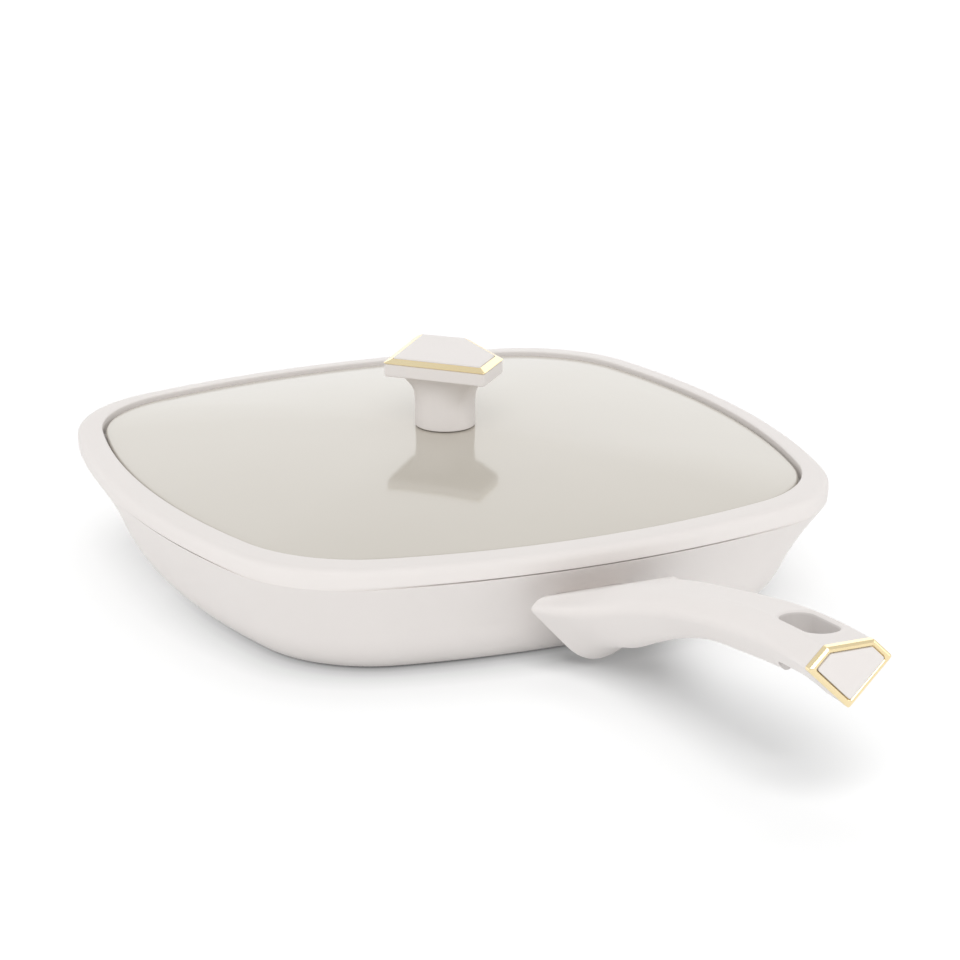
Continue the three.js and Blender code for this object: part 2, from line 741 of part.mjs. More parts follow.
function handleBolt() {
  const headFace = boltLength - boltHeadSink + boltWasherThickness + 2 * seatGap;
  return alongBolt(turned([
    [0, -boltEngagement],
    [boltRadius, -boltEngagement],
    [boltRadius, headFace],
    [boltHeadRadius, headFace],
    [boltHeadRadius, headFace + boltHeadHeight - headChamfer],
    [boltHeadRadius - headChamfer, headFace + boltHeadHeight],
    [socketRadius, headFace + boltHeadHeight],
    [socketRadius, headFace + boltHeadHeight - socketDepth],
    [0, headFace + boltHeadHeight - socketDepth],
  ]));
}

function boltWasher() {
  const bottom = boltLength - boltHeadSink + seatGap;
  const top = bottom + boltWasherThickness;
  return alongBolt(washer(boltRadius + boltClearance, boltWasherRadius, bottom, top));
}

// The metal frame and ivory inlay on the handle's end

function endFrame() {
  const rings = [
    handleRing(endStation, frameFoot - endFrameProud, frameSeat),
    handleRing(endStation, -endFrameProud, frameSeat + frameFoot),
    handleRing(endStation, -endFrameProud, endFrameDepth - endFrameBevel),
    handleRing(endStation, endFrameBevel - endFrameProud, endFrameDepth),
  ];
  const hole = loft([
    handleRing(endStation, endFrameWidth - endFrameProud, endFrameDepth - endInlayThickness - seatGap),
    handleRing(endStation, endFrameWidth - endFrameProud, 2 * endFrameDepth),
  ]);
  return cut(loft(rings), hole);
}

function endInlay() {
  const inset = endFrameWidth - endFrameProud + inlayGap;
  return loft([
    handleRing(endStation, inset, endFrameDepth - endInlayThickness),
    handleRing(endStation, inset, endFrameDepth + inlayProud - inlayEdgeBreak),
    handleRing(endStation, inset + inlayEdgeBreak, endFrameDepth + inlayProud),
  ]);
}

// Assembly

const pan = new THREE.Group();
pan.add(
  piece("pan_body", panBody(), "ivory"),
  piece("induction_plate", inductionPlate(), "steel"),
);

const handle = new THREE.Group();
handle.add(
  piece("handle_bracket", handleBracket(), "ivory"),
  piece("handle_grip", handleGrip(), "ivorySatin"),
  piece("handle_bolt", handleBolt(), "steel"),
  piece("handle_bolt_washer", boltWasher(), "steel"),
  piece("handle_end_frame", endFrame(), "gold"),
  piece("handle_end_inlay", endInlay(), "ivorySatin"),
);

const lid = new THREE.Group();
lid.add(
  piece("lid_plate", lidPlate(), "lidGlass"),
  piece("knob_upper_gasket", upperGasket(), "silicone"),
  piece("knob_lower_gasket", lowerGasket(), "silicone"),
  piece("knob_body", knobBody(), "ivorySatin"),
  piece("knob_insert", knobInsert(), "brass"),
  piece("knob_frame", knobFrame(), "gold"),
  piece("knob_inlay", knobInlay(), "ivorySatin"),
  piece("knob_screw", knobScrew(), "steel"),
  piece("knob_screw_washer", screwWasher(), "steel"),
);

const grillPan = new THREE.Group();
grillPan.add(pan, handle, lid);

export default grillPan;
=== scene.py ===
import bpy
import math
import numpy as np
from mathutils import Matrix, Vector


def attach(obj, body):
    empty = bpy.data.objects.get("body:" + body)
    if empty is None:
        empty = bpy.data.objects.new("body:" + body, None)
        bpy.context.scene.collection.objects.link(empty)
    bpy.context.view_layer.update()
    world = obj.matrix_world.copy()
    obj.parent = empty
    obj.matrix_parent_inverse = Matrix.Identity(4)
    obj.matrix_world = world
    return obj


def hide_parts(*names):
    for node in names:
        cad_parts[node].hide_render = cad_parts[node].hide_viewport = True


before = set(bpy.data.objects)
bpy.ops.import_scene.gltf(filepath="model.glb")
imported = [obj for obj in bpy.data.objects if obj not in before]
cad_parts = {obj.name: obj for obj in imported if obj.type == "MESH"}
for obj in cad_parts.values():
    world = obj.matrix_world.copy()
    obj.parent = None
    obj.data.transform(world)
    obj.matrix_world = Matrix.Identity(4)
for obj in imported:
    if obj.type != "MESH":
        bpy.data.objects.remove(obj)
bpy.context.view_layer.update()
print("frame loaded:", len(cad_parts), "nodes")

mm = 0.001
axis = 0.05  # turned pieces start this close to their axis
scene = bpy.context.scene


# ring and skin helpers, all in millimetres until skin() writes the mesh

def bowedSquare(half, sideRadius, cornerRadius, sideSteps=36, cornerSteps=44):
    sideCentre = half - sideRadius
    reach = sideRadius - cornerRadius
    corner = (sideCentre + math.sqrt(2 * reach * reach - sideCentre * sideCentre)) / 2
    turn = math.atan2(corner, corner - sideCentre)
    quarter = []
    for a in np.linspace(0, turn, sideSteps, endpoint=False):
        quarter.append((sideCentre + sideRadius * math.cos(a), sideRadius * math.sin(a)))
    for a in np.linspace(turn, math.pi / 2 - turn, cornerSteps + 1):
        quarter.append((corner + cornerRadius * math.cos(a), corner + cornerRadius * math.sin(a)))
    for a in np.linspace(turn, 0, sideSteps, endpoint=False)[1:]:
        quarter.append((sideRadius * math.sin(a), sideCentre + sideRadius * math.cos(a)))
    sides = []
    for c, s in ((1, 0), (0, 1), (-1, 0), (0, -1)):
        sides.append(np.array(quarter) @ np.array([[c, s], [-s, c]]))
    return np.vstack(sides)


def level(points, z):
    return np.c_[points, np.full(len(points), float(z))]


def drawIn(ring, amount):
    radius = np.hypot(ring[:, 0], ring[:, 1])
    scale = (radius - amount) / radius
    return np.c_[ring[:, 0] * scale, ring[:, 1] * scale, ring[:, 2]]


def halfIn(ring):  # halfway to the middle at the same height
    return ring * np.array([0.5, 0.5, 1])


def lift(ring, dz):
    return ring + np.array([0, 0, dz])


def blendRings(a, b, t):
    return a * (1 - t) + b * t


def easeRings(a, b, c, steps):  # a rounded way from a to c that bends towards b
    rings = []
    for t in np.linspace(0, 1, steps + 1)[1:]:
        rings.append(blendRings(blendRings(a, b, t), blendRings(b, c, t), t))
    return rings


def gemCorners(halfWidth, flatHalf, flatReach, tipReach):
    right, left = [(halfWidth, 0), (flatHalf, flatReach)], [(-flatHalf, flatReach), (-halfWidth, 0)]
    return np.array(right + left + [(0, -tipReach)], float)


def insetCorners(corners, amount):
    count = len(corners)
    moved = []
    for i in range(count):
        before = corners[i] - corners[i - 1]
        after = corners[(i + 1) % count] - corners[i]
        before, after = before / np.linalg.norm(before), after / np.linalg.norm(after)
        inward = np.array([-before[1] - after[1], before[0] + after[0]])
        inward /= np.linalg.norm(inward)
        moved.append(corners[i] + inward * amount / math.sqrt((1 + before @ after) / 2))
    return np.array(moved)


def roundCorners(corners, radii, steps, edgeSteps=1, mostOfEdge=0.45):
    count = len(corners)
    arcs = []
    for i in range(count):
        back, ahead = corners[i - 1] - corners[i], corners[(i + 1) % count] - corners[i]
        lb, la = np.linalg.norm(back), np.linalg.norm(ahead)
        halfAngle = math.acos(back @ ahead / (lb * la)) / 2
        run = min(radii[i] / math.tan(halfAngle), mostOfEdge * lb, mostOfEdge * la)
        start, end = corners[i] + back / lb * run, corners[i] + ahead / la * run
        t = np.linspace(0, 1, steps + 1)[:, None]
        arcs.append(start * (1 - t) ** 2 + corners[i] * 2 * t * (1 - t) + end * t ** 2)
    points = []
    for i in range(count):
        points.append(arcs[i])
        t = np.linspace(0, 1, edgeSteps + 1)[1:-1, None]
        points.append(arcs[i][-1] * (1 - t) + arcs[(i + 1) % count][0] * t)
    return np.vstack(points)


def skin(name, rings, loop=False):
    rings = [np.asarray(r) for r in rings]
    count = len(rings[0])
    points = np.vstack(rings)
    faces = []
    total = len(rings)
    for r in range(total if loop else total - 1):
        a, b = r * count, ((r + 1) % total) * count
        for i in range(count):
            j = (i + 1) % count
            faces.append((a + i, a + j, b + j, b + i))
    if not loop:  # close both ends by a fan
        points = np.vstack([points, rings[0].mean(0), rings[-1].mean(0)])
        first, last, top = total * count, total * count + 1, (total - 1) * count
        for i in range(count):
            j = (i + 1) % count
            faces.append((first, j, i))
            faces.append((last, top + i, top + j))
    mesh = bpy.data.meshes.new(name)
    mesh.from_pydata((points * mm).tolist(), [], faces)
    mesh.polygons.foreach_set("use_smooth", [True] * len(mesh.polygons))
    mesh.update()
    return mesh


def creased(mesh, degrees):  # edges sharper than this stay crisp
    mesh.set_sharp_from_angle(angle=math.radians(degrees))
    return mesh


def lathe(name, profile, steps=72):
    angles = np.linspace(0, 2 * math.pi, steps, endpoint=False)
    closed = profile[0] == profile[-1]
    rings = []
    for r, z in (profile[:-1] if closed else profile):
        rings.append(np.c_[r * np.cos(angles), r * np.sin(angles), np.full(steps, z)])
    return creased(skin(name, rings, loop=closed), 35)


def addObject(name, data):
    obj = bpy.data.objects.new(name, data)
    scene.collection.objects.link(obj)
    return obj


def addPiece(name, mesh, material):
    mesh.materials.clear()
    mesh.materials.append(material)
    return addObject(name, mesh)


def flatten(obj):  # evaluated modifiers become a plain mesh
    depsgraph = bpy.context.evaluated_depsgraph_get()
    mesh = bpy.data.meshes.new_from_object(obj.evaluated_get(depsgraph))
    mesh.name = obj.name
    obj.modifiers.clear()
    obj.data = mesh
    return mesh


# node helpers

numberSocket, countSocket = "NodeSocketFloat", "NodeSocketInt"
colourSocket, shapeSocket = "NodeSocketColor", "NodeSocketGeometry"


def addNode(tree, kind, x=0, y=0, **values):
    node = tree.nodes.new(kind)
    node.location = (x, y)
    for key, value in values.items():
        setattr(node, key, value)
    return node


def calc(tree, x, y, operation, *values):  # each value is a number or another node's socket
    node = addNode(tree, "ShaderNodeMath", x, y, operation=operation)
    for socket, value in zip(node.inputs, values):
        if isinstance(value, (int, float)):
            socket.default_value = value
        else:
            tree.links.new(value, socket)
    return node.outputs[0]


def newTree(name, kind, inputs, outputs):
    tree = bpy.data.node_groups.new(name, kind)
    for label, socket in inputs.items():
        tree.interface.new_socket(label, in_out="INPUT", socket_type=socket)
    for label, socket in outputs.items():
        tree.interface.new_socket(label, in_out="OUTPUT", socket_type=socket)
    return tree, addNode(tree, "NodeGroupInput", -1400), addNode(tree, "NodeGroupOutput", 900)


def endTree(tree, shape, material, groupOut):
    real = addNode(tree, "GeometryNodeRealizeInstances", 500, 100)
    coat = addNode(tree, "GeometryNodeSetMaterial", 700, 100)
    coat.inputs["Material"].default_value = material
    tree.links.new(shape, real.inputs[0])
    tree.links.new(real.outputs[0], coat.inputs[0])
    tree.links.new(coat.outputs[0], groupOut.inputs[0])


def runTree(obj, tree, values):  # leaves the tree's result as the piece's own mesh
    ids = {item.name: item.identifier for item in tree.interface.items_tree if item.in_out == "INPUT"}
    mod = obj.modifiers.new(tree.name, "NODES")
    mod.node_group = tree
    for label, value in values.items():
        mod[ids[label]] = value
    return flatten(obj)


# finishes: a fine grain for bump and roughness, and a slow drift between two close tones

grainSize = dict(detail=3, deep=0.4, patchScale=14, patchDetail=2, patchLow=0.35, patchHigh=0.65, ior=1.5)


def fineGrainGroup():
    outputs = dict(Height=numberSocket, Patch=numberSocket)
    tree, gin, gout = newTree("fineGrain", "ShaderNodeTree", dict(Scale=numberSocket), outputs)
    coord = addNode(tree, "ShaderNodeTexCoord", -600, -200)
    fine = addNode(tree, "ShaderNodeTexNoise", -300, 100)
    fine.inputs["Detail"].default_value = grainSize["detail"]
    patch = addNode(tree, "ShaderNodeTexNoise", -300, -200)
    patch.inputs["Scale"].default_value = grainSize["patchScale"]
    patch.inputs["Detail"].default_value = grainSize["patchDetail"]
    tree.links.new(gin.outputs["Scale"], fine.inputs["Scale"])
    for noise, output in ((fine, "Height"), (patch, "Patch")):
        tree.links.new(coord.outputs["Object"], noise.inputs["Vector"])
        tree.links.new(noise.outputs["Fac"], gout.inputs[output])
    return tree


def toneGroup():
    inputs = dict(Mask=numberSocket, Light=colourSocket, Dark=colourSocket)
    tree, gin, gout = newTree("toneDrift", "ShaderNodeTree", inputs, dict(Colour=colourSocket))
    ramp = addNode(tree, "ShaderNodeMapRange", -300)
    ramp.inputs["From Min"].default_value = grainSize["patchLow"]
    ramp.inputs["From Max"].default_value = grainSize["patchHigh"]
    mix = addNode(tree, "ShaderNodeMix", 0, data_type="RGBA")  # its colour sockets are 6, 7 and out 2
    tree.links.new(gin.outputs["Mask"], ramp.inputs["Value"])
    tree.links.new(ramp.outputs["Result"], mix.inputs["Factor"])
    tree.links.new(gin.outputs["Light"], mix.inputs[6])
    tree.links.new(gin.outputs["Dark"], mix.inputs[7])
    tree.links.new(mix.outputs[2], gout.inputs["Colour"])
    return tree


fineGrain = fineGrainGroup()
toneDrift = toneGroup()


def makeMaterial(name, light, dark, rough, grain, bump, roughSpread=0.06, metallic=0.0, gloss=0.5):
    mat = bpy.data.materials.new(name)
    mat.use_nodes = True
    tree = mat.node_tree
    bsdf = tree.nodes["Principled BSDF"]
    bsdf.inputs["Metallic"].default_value = metallic
    bsdf.inputs["IOR"].default_value = grainSize["ior"]
    bsdf.inputs["Specular IOR Level"].default_value = gloss
    grainNode = addNode(tree, "ShaderNodeGroup", -900, 0, node_tree=fineGrain)
    grainNode.inputs["Scale"].default_value = grain
    tone = addNode(tree, "ShaderNodeGroup", -600, 200, node_tree=toneDrift, name="tone")
    tone.inputs["Light"].default_value = (*light, 1)
    tone.inputs["Dark"].default_value = (*dark, 1)
    tree.links.new(grainNode.outputs["Patch"], tone.inputs["Mask"])
    tree.links.new(tone.outputs["Colour"], bsdf.inputs["Base Color"])
    roughMap = addNode(tree, "ShaderNodeMapRange", -600, -50)
    roughMap.inputs["To Min"].default_value = rough - roughSpread
    roughMap.inputs["To Max"].default_value = rough + roughSpread
    tree.links.new(grainNode.outputs["Height"], roughMap.inputs["Value"])
    tree.links.new(roughMap.outputs["Result"], bsdf.inputs["Roughness"])
    bumpNode = addNode(tree, "ShaderNodeBump", -300, -250, name="grainBump")
    bumpNode.inputs["Strength"].default_value = bump
    bumpNode.inputs["Distance"].default_value = grainSize["deep"] * mm
    tree.links.new(grainNode.outputs["Height"], bumpNode.inputs["Height"])
    tree.links.new(bumpNode.outputs["Normal"], bsdf.inputs["Normal"])
    return mat


ivory = (0.775, 0.738, 0.716)
finishes = dict(
    ivoryCoating=dict(light=ivory, dark=(0.765, 0.728, 0.705), rough=0.55, grain=700, bump=0.05, gloss=0.25),
    ivoryMoulding=dict(light=ivory, dark=(0.768, 0.73, 0.707), rough=0.5, grain=1400, bump=0.05, gloss=0.25),
    ivoryInlay=dict(light=ivory, dark=(0.768, 0.73, 0.708), rough=0.5, grain=1600, bump=0.02, gloss=0.2),
    opalGlass=dict(
        light=(0.53, 0.495, 0.437), dark=(0.522, 0.487, 0.429), rough=0.1, roughSpread=0.02, grain=300,
        bump=0.006),
    paleGold=dict(
        light=(0.93, 0.79, 0.5), dark=(0.9, 0.74, 0.44), rough=0.2, roughSpread=0.05, grain=1200, bump=0.02,
        metallic=1.0),
    screwSteel=dict(
        light=(0.58, 0.58, 0.59), dark=(0.5, 0.5, 0.51), rough=0.32, grain=2200, bump=0.05, metallic=1.0),
    turnedBrass=dict(
        light=(0.72, 0.55, 0.25), dark=(0.64, 0.47, 0.2), rough=0.34, grain=2000, bump=0.05, metallic=1.0),
    paleSilicone=dict(
        light=(0.70, 0.67, 0.63), dark=(0.66, 0.63, 0.59), rough=0.7, roughSpread=0.08, grain=1500,
        bump=0.08),
    turnedSteel=dict(
        light=(0.56, 0.56, 0.57), dark=(0.5, 0.5, 0.51), rough=0.34, roughSpread=0.05, grain=1500, bump=0.03,
        metallic=1.0),
    studMetal=dict(
        light=(0.62, 0.62, 0.63), dark=(0.55, 0.55, 0.56), rough=0.45, grain=1800, bump=0.06, metallic=1.0),
)
paint = {name: makeMaterial(name, **values) for name, values in finishes.items()}
print("finishes ready:", len(paint))


# pan body

panSize = dict(
    half=136.5, height=49, sideRadius=337, cornerRadius=57,
    rimWidth=9.5, rimFall=1.0, rimRound=4.0, rimEdge=0.8,
    openingSide=307, openingCorner=53, bandHeight=7.2, bandTaper=0.6,
    lipStep=0.7, lipLeast=0.02, lipEdge=0.25, grooveDeep=2.2, grooveWide=0.7,
    baseHalf=115.6, baseSide=316, baseCorner=50.5, baseRun=8, baseRise=17, baseGap=0.4, wallHollow=2.3,
    floor=5, floorRun=15, floorRise=13, cavityDraft=6,
    ledge=5.4, ledgeLevel=43.2, ledgeRound=0.8, ledgeEdge=0.6,
)
floorLevel = panSize["baseGap"] + panSize["floor"]


def lidOpening():
    p = panSize
    return bowedSquare(p["half"] - p["rimWidth"], p["openingSide"], p["openingCorner"])


def rimOutline():
    p = panSize
    return level(bowedSquare(p["half"], p["sideRadius"], p["cornerRadius"]), p["height"] - p["rimFall"])


def baseOutline(z):
    p = panSize
    return level(bowedSquare(p["baseHalf"], p["baseSide"], p["baseCorner"]), z)


def outerWall(bandFoot, lip):  # from the middle of the base up to the groove under the lip
    p = panSize
    wallTop = drawIn(lift(bandFoot, -p["grooveWide"]), p["lipStep"] * lip)
    baseSharp = baseOutline(p["baseGap"])

    def wallAt(share):
        return drawIn(blendRings(baseSharp, wallTop, share), p["wallHollow"] * math.sin(math.pi * share))

    wallHeight = wallTop[0, 2] - p["baseGap"]
    footShare = (p["baseRise"] - p["baseGap"]) / wallHeight
    baseFlat = drawIn(baseSharp, p["baseRun"])
    rings = [halfIn(baseFlat), baseFlat] + easeRings(baseFlat, baseSharp, wallAt(footShare), 14)
    for share in np.linspace(footShare, 1 - 2 * p["lipEdge"] / wallHeight, 16)[1:]:
        rings.append(wallAt(share))
    rings += easeRings(rings[-1], wallTop, drawIn(wallTop, p["lipEdge"] * lip), 3)
    grooveFloor = drawIn(wallTop, p["grooveDeep"] * lip)
    return rings + [blendRings(rings[-1], grooveFloor, 0.5), grooveFloor, lift(grooveFloor, p["grooveWide"])]


def rimBand(grooveHead, bandFoot, lip):  # out of the groove, round the lip and over the rim to the opening
    p = panSize
    rimEdge, opening = rimOutline(), level(lidOpening(), p["height"])
    lipIn = drawIn(bandFoot, p["lipEdge"] * lip)
    bandStart = blendRings(bandFoot, rimEdge, p["lipEdge"] / p["bandHeight"])
    bandHead = blendRings(bandFoot, rimEdge, 1 - p["rimRound"] / p["bandHeight"])
    rimHead = lift(drawIn(rimEdge, p["rimRound"]), p["rimFall"] * p["rimRound"] / p["rimWidth"])
    rimIn = drawIn(opening, -p["rimEdge"])
    rings = [blendRings(grooveHead, lipIn, 0.5), lipIn] + easeRings(lipIn, bandFoot, bandStart, 3)
    rings += [blendRings(bandStart, bandHead, 0.5), bandHead] + easeRings(bandHead, rimEdge, rimHead, 12)
    rings += [blendRings(rimHead, rimIn, 0.5), rimIn]
    return rings + easeRings(rimIn, opening, lift(opening, -p["rimEdge"]), 4)


def panInside():  # the lid's ledge, the inner wall and the floor
    p = panSize
    ledgeOut = level(lidOpening(), p["ledgeLevel"])
    rings = easeRings(lift(ledgeOut, p["ledgeRound"]), ledgeOut, drawIn(ledgeOut, p["ledgeRound"]), 4)
    ledgeIn = drawIn(ledgeOut, p["ledge"])
    ledgeEnd = drawIn(ledgeIn, -p["ledgeEdge"])
    cavityEdge = lift(drawIn(ledgeIn, p["rimEdge"]), -p["rimEdge"])
    rings += [ledgeEnd] + easeRings(ledgeEnd, drawIn(ledgeIn, p["ledgeEdge"] / 2), cavityEdge, 4)
    deep = cavityEdge[0, 2] - floorLevel
    cavityFoot = lift(drawIn(cavityEdge, p["cavityDraft"]), -deep)
    wallFoot = blendRings(cavityFoot, cavityEdge, p["floorRise"] / deep)
    rings += [blendRings(cavityEdge, wallFoot, t) for t in (0.33, 0.66, 1)]
    floorEdge = drawIn(cavityFoot, p["floorRun"])
    return rings + easeRings(wallFoot, cavityFoot, floorEdge, 12) + [halfIn(floorEdge)]


def panShell():
    p = panSize
    bandFoot = drawIn(lift(rimOutline(), -p["bandHeight"]), p["bandTaper"])
    angle = np.arctan2(bandFoot[:, 1], bandFoot[:, 0])
    lip = p["lipLeast"] + (1 - p["lipLeast"]) * np.cos(2 * angle) ** 2  # the lip fades out at the corners
    rings = outerWall(bandFoot, lip)
    rings += rimBand(rings[-1], bandFoot, lip) + panInside()
    return creased(skin("panBody", rings), 40)


panBody = addPiece("panBody", panShell(), paint["ivoryCoating"])
print("pan shell:", len(panBody.data.polygons), "faces")


# grilling ribs: one rib mesh, repeated across the floor

ribSize = dict(
    count=13, pitch=14, height=4.5, foot=6, top=3.4, sink=0.6, footRound=0.1, topRound=1.0,
    reach=90.8, field=86.5, squareness=4.3, endShare=0.05, endHeight=0.25, endWidth=0.55,
)


def unitRib():  # from -1 to 1 along X, for the tree to scale to its reach
    r = ribSize
    foot, top, height, sink = r["foot"] / 2, r["top"] / 2, r["height"], r["sink"]
    outline = np.array([(-foot, -sink), (foot, -sink), (top, height), (-top, height)], float)
    section = roundCorners(outline, (r["footRound"], r["footRound"], r["topRound"], r["topRound"]), 4)
    run = r["endShare"]
    end = 1 - run + run * np.cos(np.linspace(math.pi / 2, 0, 8))
    rings = []
    for along in np.r_[-end[::-1], end]:
        out = (abs(along) - 1 + run) / run
        size = r["endHeight"] + (1 - r["endHeight"]) * math.sqrt(max(0.0, 1 - out * out))
        ring = section * np.array([r["endWidth"] + (1 - r["endWidth"]) * size, 1])
        ring[:, 1] = np.where(ring[:, 1] > 0, ring[:, 1] * size, ring[:, 1])
        rings.append(np.c_[np.full(len(ring), along / mm), ring])
    return skin("ribUnit", rings)


def ribTree():
    inputs = dict(Rib=shapeSocket, Count=countSocket)
    inputs.update(dict.fromkeys(("Pitch", "Reach", "Field", "Squareness", "Floor"), numberSocket))
    tree, gin, gout = newTree("grillRibs", "GeometryNodeTree", inputs, dict(Ribs=shapeSocket))
    link, size = tree.links.new, gin.outputs
    line = addNode(tree, "GeometryNodeMeshLine", -800, 200)
    first = addNode(tree, "ShaderNodeCombineXYZ", -1000, 300)
    gap = addNode(tree, "ShaderNodeCombineXYZ", -1000, 100)
    gapCount = calc(tree, -1300, 400, "SUBTRACT", size["Count"], 1)
    halfBack = calc(tree, -1300, 250, "MULTIPLY", size["Pitch"], -0.5)
    link(calc(tree, -1150, 400, "MULTIPLY", gapCount, halfBack), first.inputs["Y"])
    link(size["Floor"], first.inputs["Z"])
    link(size["Pitch"], gap.inputs["Y"])
    link(size["Count"], line.inputs["Count"])
    link(first.outputs[0], line.inputs["Start Location"])
    link(gap.outputs[0], line.inputs["Offset"])
    # the ribs' ends follow a rounded square, as the pan's floor does
    place = addNode(tree, "GeometryNodeInputPosition", -1300, -200)
    parts = addNode(tree, "ShaderNodeSeparateXYZ", -1150, -200)
    link(place.outputs[0], parts.inputs[0])
    across = calc(tree, -1000, -200, "ABSOLUTE", parts.outputs["Y"])
    across = calc(tree, -850, -200, "DIVIDE", across, size["Field"])
    across = calc(tree, -700, -200, "POWER", across, size["Squareness"])
    root = calc(tree, -700, -350, "DIVIDE", 1, size["Squareness"])
    share = calc(tree, -400, -200, "POWER", calc(tree, -550, -200, "SUBTRACT", 1, across), root)
    scale = addNode(tree, "ShaderNodeCombineXYZ", -100, -200)
    link(calc(tree, -250, -200, "MULTIPLY", share, size["Reach"]), scale.inputs["X"])
    scale.inputs["Y"].default_value = 1
    scale.inputs["Z"].default_value = 1
    ribs = addNode(tree, "GeometryNodeInstanceOnPoints", 150, 100)
    link(line.outputs["Mesh"], ribs.inputs["Points"])
    link(size["Rib"], ribs.inputs["Instance"])
    link(scale.outputs[0], ribs.inputs["Scale"])
    endTree(tree, ribs.outputs[0], paint["ivoryCoating"], gout)
    return tree


def growRibs():
    r = ribSize
    obj = addPiece("grillRibs", unitRib(), paint["ivoryCoating"])
    values = dict(Count=r["count"], Pitch=r["pitch"] * mm, Reach=r["reach"] * mm, Field=r["field"] * mm)
    values.update(Squareness=r["squareness"], Floor=floorLevel * mm)
    creased(runTree(obj, ribTree(), values), 50)
    return obj


grillRibs = growRibs()
print("ribs:", len(grillRibs.data.polygons), "faces")


# handle

handleSize = dict(
    flangeFace=143, flangeEdge=1.2, end=313, flangeTop=35, lean=0.23, leanRun=22,
    slotMiddle=289, slotHalfLength=13.8, slotHalfWidth=6.3, slotLip=1.4,
    slotLow=20, slotOver=1.2, slotHigh=14, slotNear=0.3, slotShadowDim=0.8,
)
# along, widest height, flat above, keel below, half width, half flat, edge round, keel round
handleStations = np.array([
    (143, 30.5, 4.3, 35.0, 32.5, 28.5, 4.0, 24),
    (151, 32.0, 5.6, 24.5, 29.5, 18.0, 8.0, 16),
    (159, 34.3, 6.2, 23.0, 26.0, 12.0, 10.0, 15),
    (169, 37.2, 7.4, 22.5, 22.0, 10.0, 10.0, 13),
    (182, 41.0, 7.8, 19.5, 18.0, 9.6, 9.0, 10),
    (200, 46.0, 7.6, 15.2, 15.5, 9.2, 8.0, 7),
    (222, 51.2, 7.2, 12.6, 14.4, 8.6, 7.0, 5),
    (246, 56.2, 7.0, 14.0, 14.2, 8.3, 6.0, 4),
    (272, 60.4, 6.9, 15.0, 14.8, 8.4, 4.5, 3),
    (296, 62.4, 6.8, 15.4, 15.5, 8.7, 2.5, 2),
    (313, 62.8, 6.8, 15.6, 15.8, 8.8, 1.2, 1.2),
])
bracketSize = dict(
    start=128, face=150, edge=0.8, height=26, half=17, flat=13, rise=3, drop=14,
    edgeRound=4.0, keelRound=10.4, clearance=0.4, mouthRound=0.6,
)


def stationAt(x):  # smooth table lookup
    xs = handleStations[:, 0]
    i = int(np.clip(np.searchsorted(xs, x) - 1, 0, len(xs) - 2))
    h = xs[i + 1] - xs[i]
    t = (x - xs[i]) / h

    def slope(k):
        lo, hi = max(k - 1, 0), min(k + 1, len(xs) - 1)
        return (handleStations[hi, 1:] - handleStations[lo, 1:]) / (xs[hi] - xs[lo])

    a, b = handleStations[i, 1:], handleStations[i + 1, 1:]
    return (a * (1 + 2 * t) * (1 - t) ** 2 + slope(i) * h * t * (1 - t) ** 2
            + b * t * t * (3 - 2 * t) - slope(i + 1) * h * t * t * (1 - t))


def gemSection(corners, edge, keel):
    return roundCorners(corners, (edge, edge, edge, edge, keel), 12, 4)


def handleRing(x, inset=0.0, at=None):
    h = handleSize
    station = x if at is None else at
    height, rise, drop, half, flat, edge, keel = stationAt(station)
    points = gemSection(insetCorners(gemCorners(half, flat, rise, drop), inset), edge, keel)
    z = points[:, 1] + height
    # the flange leans in with the wall
    lean = h["lean"] * max(0, 1 - (station - h["flangeFace"]) / h["leanRun"])
    return np.c_[x - lean * (h["flangeTop"] - z), points[:, 0], z]


def bracketRing(x, grow):
    b = bracketSize
    corners = insetCorners(gemCorners(b["half"], b["flat"], b["rise"], b["drop"]), -grow)
    points = gemSection(corners, b["edgeRound"], b["keelRound"] + max(grow, 0))
    return np.c_[np.full(len(points), float(x)), points[:, 0], points[:, 1] + b["height"]]


def gripMesh():
    face, edge = handleSize["flangeFace"], handleSize["flangeEdge"]
    room, mouth = bracketSize["clearance"], bracketSize["mouthRound"]
    rings = [bracketRing(bracketSize["face"] + room, room), bracketRing(face + mouth, room)]
    rings += easeRings(rings[-1], bracketRing(face, room), bracketRing(face, room + mouth), 3)
    frontEdge = handleRing(face, edge, face)
    rings.append(frontEdge)
    rings += easeRings(frontEdge, handleRing(face, 0, face), handleRing(face + edge, 0), 5)
    for x in np.linspace(face + edge, handleSize["end"], 110)[1:]:
        rings.append(handleRing(x))
    return skin("handleGrip", rings)


def slotCutter():
    h = handleSize
    steps = 64
    angle = np.linspace(0, 2 * math.pi, steps, endpoint=False) + math.pi / steps
    length, width, lip, over = h["slotHalfLength"], h["slotHalfWidth"], h["slotLip"], h["slotOver"]
    x0 = h["slotMiddle"] - length
    top0, top1 = (stationAt(x)[0] + stationAt(x)[1] for x in (x0, x0 + 2 * length))
    slope = (top1 - top0) / (2 * length)

    def ring(grow, height, follow=True):  # follow: height above the handle's top face
        x = h["slotMiddle"] + np.sign(np.cos(angle)) * (length - width) + (width + grow) * np.cos(angle)
        y = (width + grow) * np.sin(angle)
        z = top0 + (x - x0) * slope + height if follow else np.full(steps, height)
        return np.c_[x, y, z]

    rings = [ring(0, h["slotLow"], follow=False), ring(0, -lip)]
    for t in np.linspace(0, math.pi / 2, 9)[1:]:  # rounded mouth
        rings.append(ring(lip * (1 - math.cos(t)), -lip * (1 - math.sin(t))))
    return skin("slotCutter", rings + [ring(lip + over, over), ring(lip + over, h["slotHigh"])])


